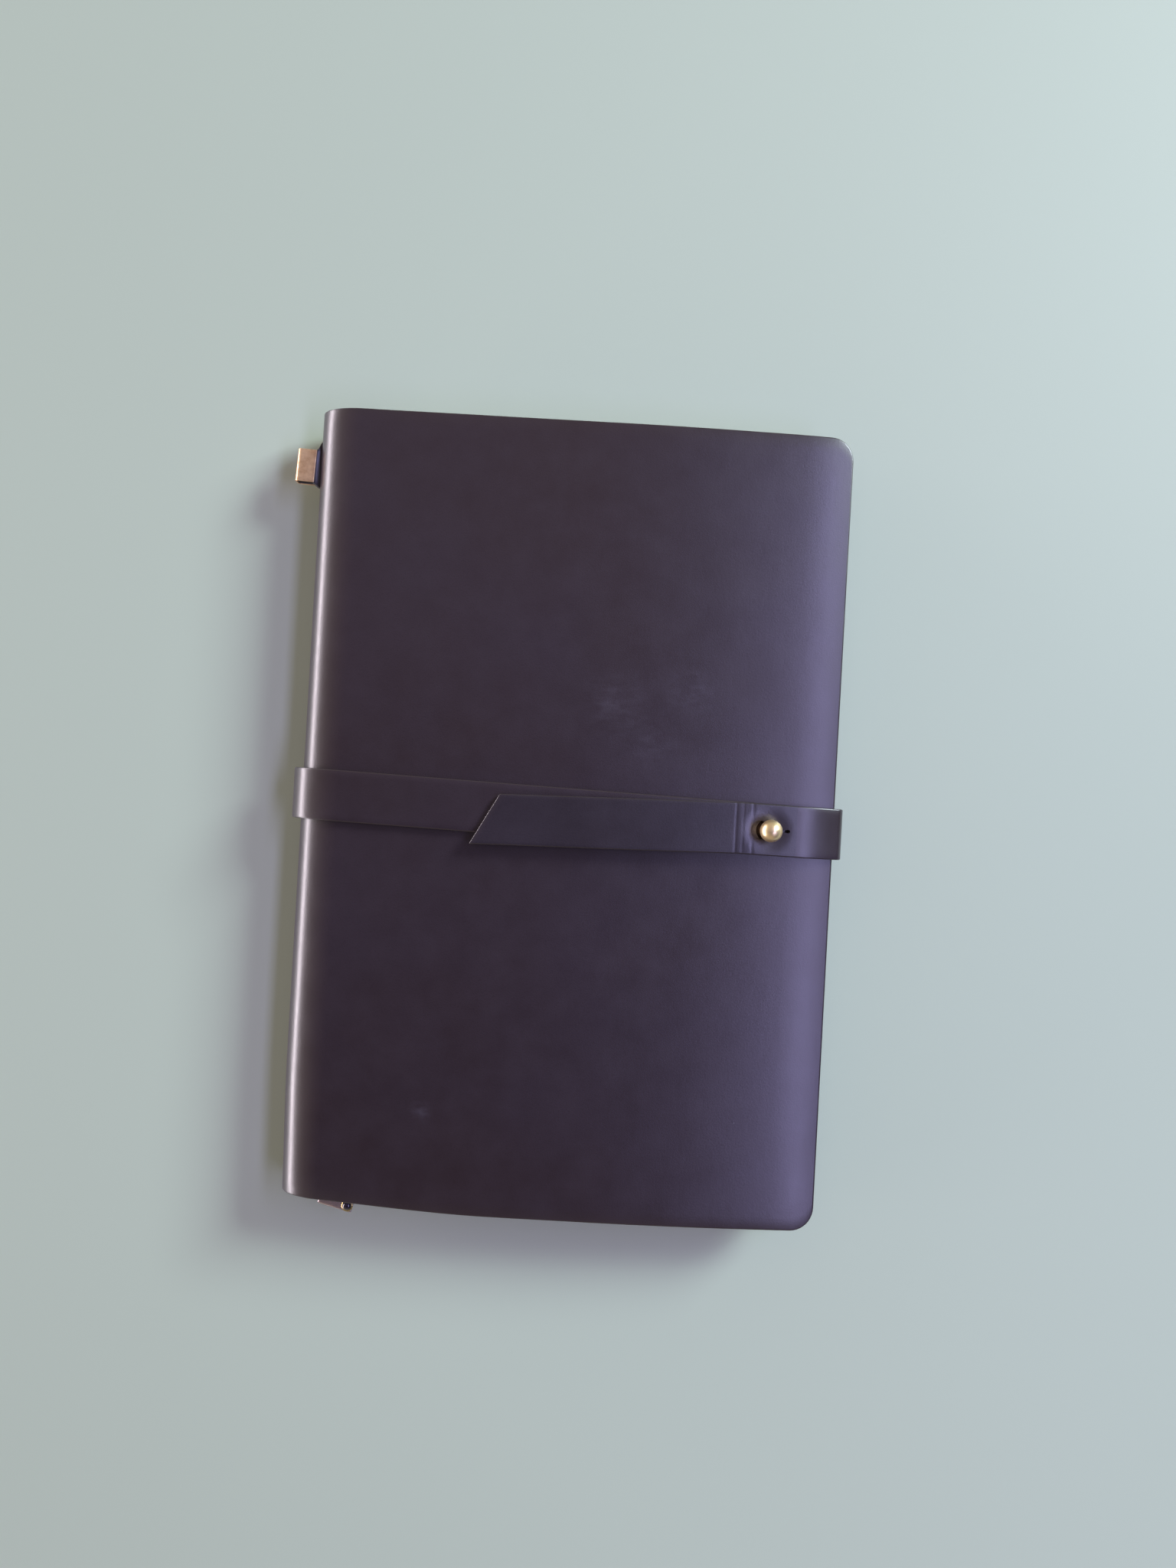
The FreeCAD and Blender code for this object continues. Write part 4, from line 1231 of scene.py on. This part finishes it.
def bookmark():
    ribbon = make_object("bookmark_ribbon_weave", *ribbon_mesh(), ribbon_weave, 60.0)
    clamp = make_object("bookmark_clamp_metal", *clamp_mesh(), clamp_metal, 45.0)
    bead_x, bead_y = mark_w / 2 - 1.55, -mark_l + 2.0

    def on_bead(x, y, h):
        return on_mark(bead_x + x, bead_y + y, mark_t / 2 + h)

    dome = [(0.0, -0.3), (bead_r, -0.3), (bead_r, 0.25)]
    dome += [(bead_r * cos(radians(a)), 0.25 + 0.85 * sin(radians(a))) for a in spaced(0, 90, 10)[1:]]
    bead = make_object("bookmark_glass_bead", *lathe(dome, on_bead, 40), bead_glass, 50.0)
    rim = [(0.0, -0.2), (1.6, -0.2), (1.68, 0.1), (1.62, 0.32), (1.45, 0.45), (1.28, 0.42), (1.18, 0.3)]
    rim.append((0.0, 0.28))
    bezel = make_object("bookmark_bezel", *lathe(rim, on_bead, 40), bezel_metal, 50.0)
    for obj, slot in ((ribbon, "ribbon"), (clamp, "clamp_metal"), (bead, "bead"), (bezel, "clamp_metal")):
        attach(obj, "back")
    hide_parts("bookmark_ribbon")
    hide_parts("bookmark_clamp")
    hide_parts("bookmark_bead")


def carried_over():
    """CAD nodes that keep their own shape."""
    for name, material in (
        ("stud_screw", screw_brass),
        ("booklet_1_staples", steel),
        ("booklet_2_staples", steel),
        ("booklet_3_staples", steel),
    ):
        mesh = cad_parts[name].data
        mesh.materials.clear()
        mesh.materials.append(material)


# Floor, light and camera


def floor():
    mesh = bpy.data.meshes.new("floor")
    reach = 3.0
    corners = [(-reach, -reach, 0), (reach, -reach, 0), (reach, reach, 0), (-reach, reach, 0)]
    mesh.from_pydata(corners, [], [(0, 1, 2, 3)])
    obj = bpy.data.objects.new("floor", mesh)
    bpy.context.scene.collection.objects.link(obj)
    material, tree, shader = new_material("floor")
    set_shader(tree, shader, Base_Color=(0.56, 0.64, 0.53, 1.0), Roughness=0.62)
    mesh.materials.append(material)


def area_light(name, where, aim, size, power, colour):
    """size is the light's extent level with the floor, then across that."""
    light = bpy.data.lights.new(name, "AREA")
    light.shape = "RECTANGLE"
    light.size, light.size_y = size
    light.energy = power
    light.color = colour
    obj = bpy.data.objects.new(name, light)
    obj.location = where
    obj.rotation_euler = (Vector(aim) - Vector(where)).to_track_quat("-Z", "Y").to_euler()
    bpy.context.scene.collection.objects.link(obj)


def lights():
    area_light("window", (1.60, 1.20, 1.05), (0.0, 0.0, 0.0), (0.65, 0.75), 52.0, (0.82, 0.95, 1.0))
    area_light("sky", (0.50, -0.02, 0.84), (0.03, 0.0, 0.0), (1.10, 0.16), 4.3, (0.56, 0.53, 1.0))
    area_light("low_left", (-1.20, 0.03, 0.08), (0.0, 0.03, 0.02), (2.00, 0.09), 22.0, (1.0, 0.90, 0.98))
    world = bpy.data.worlds.new("studio")
    world.use_nodes = True
    tree = world.node_tree
    back = tree.nodes["Background"]
    direction = add(tree, "ShaderNodeTexCoord").outputs["Generated"]
    to_right, to_head, up = parts_of(tree, direction)
    above = mixed(tree, span(tree, to_head, -0.25, 0.25), (0.06, 0.05, 0.06), (0.78, 0.62, 0.78))
    colour = mixed(tree, span(tree, up, 0.55, 0.95), (1.0, 0.84, 0.63), above)
    colour = mixed(tree, span(tree, to_right, 0.15, 0.6), colour, (0.16, 0.15, 0.17))
    tree.links.new(colour, back.inputs["Color"])
    back.inputs["Strength"].default_value = 0.37
    bpy.context.scene.world = world


def camera():
    data = bpy.data.cameras.new("camera")
    data.sensor_fit = "AUTO"
    data.sensor_width = 36.0
    data.lens = 26.0
    obj = bpy.data.objects.new("camera", data)
    obj.location = place(81.9, 7.1, 334.25)
    obj.rotation_euler = (radians(0.56), 0.0, radians(3.21))
    bpy.context.scene.collection.objects.link(obj)
    bpy.context.scene.camera = obj


camera()
lights()
floor()
leather_cover()
strap()
stud()
pen_loop()
booklet(1, booklet_1)
booklet(3, booklet_3)
middle_booklet()
elastic_cords()
elastic_bridges()
bookmark()
carried_over()
bpy.context.scene.view_settings.view_transform = "Standard"
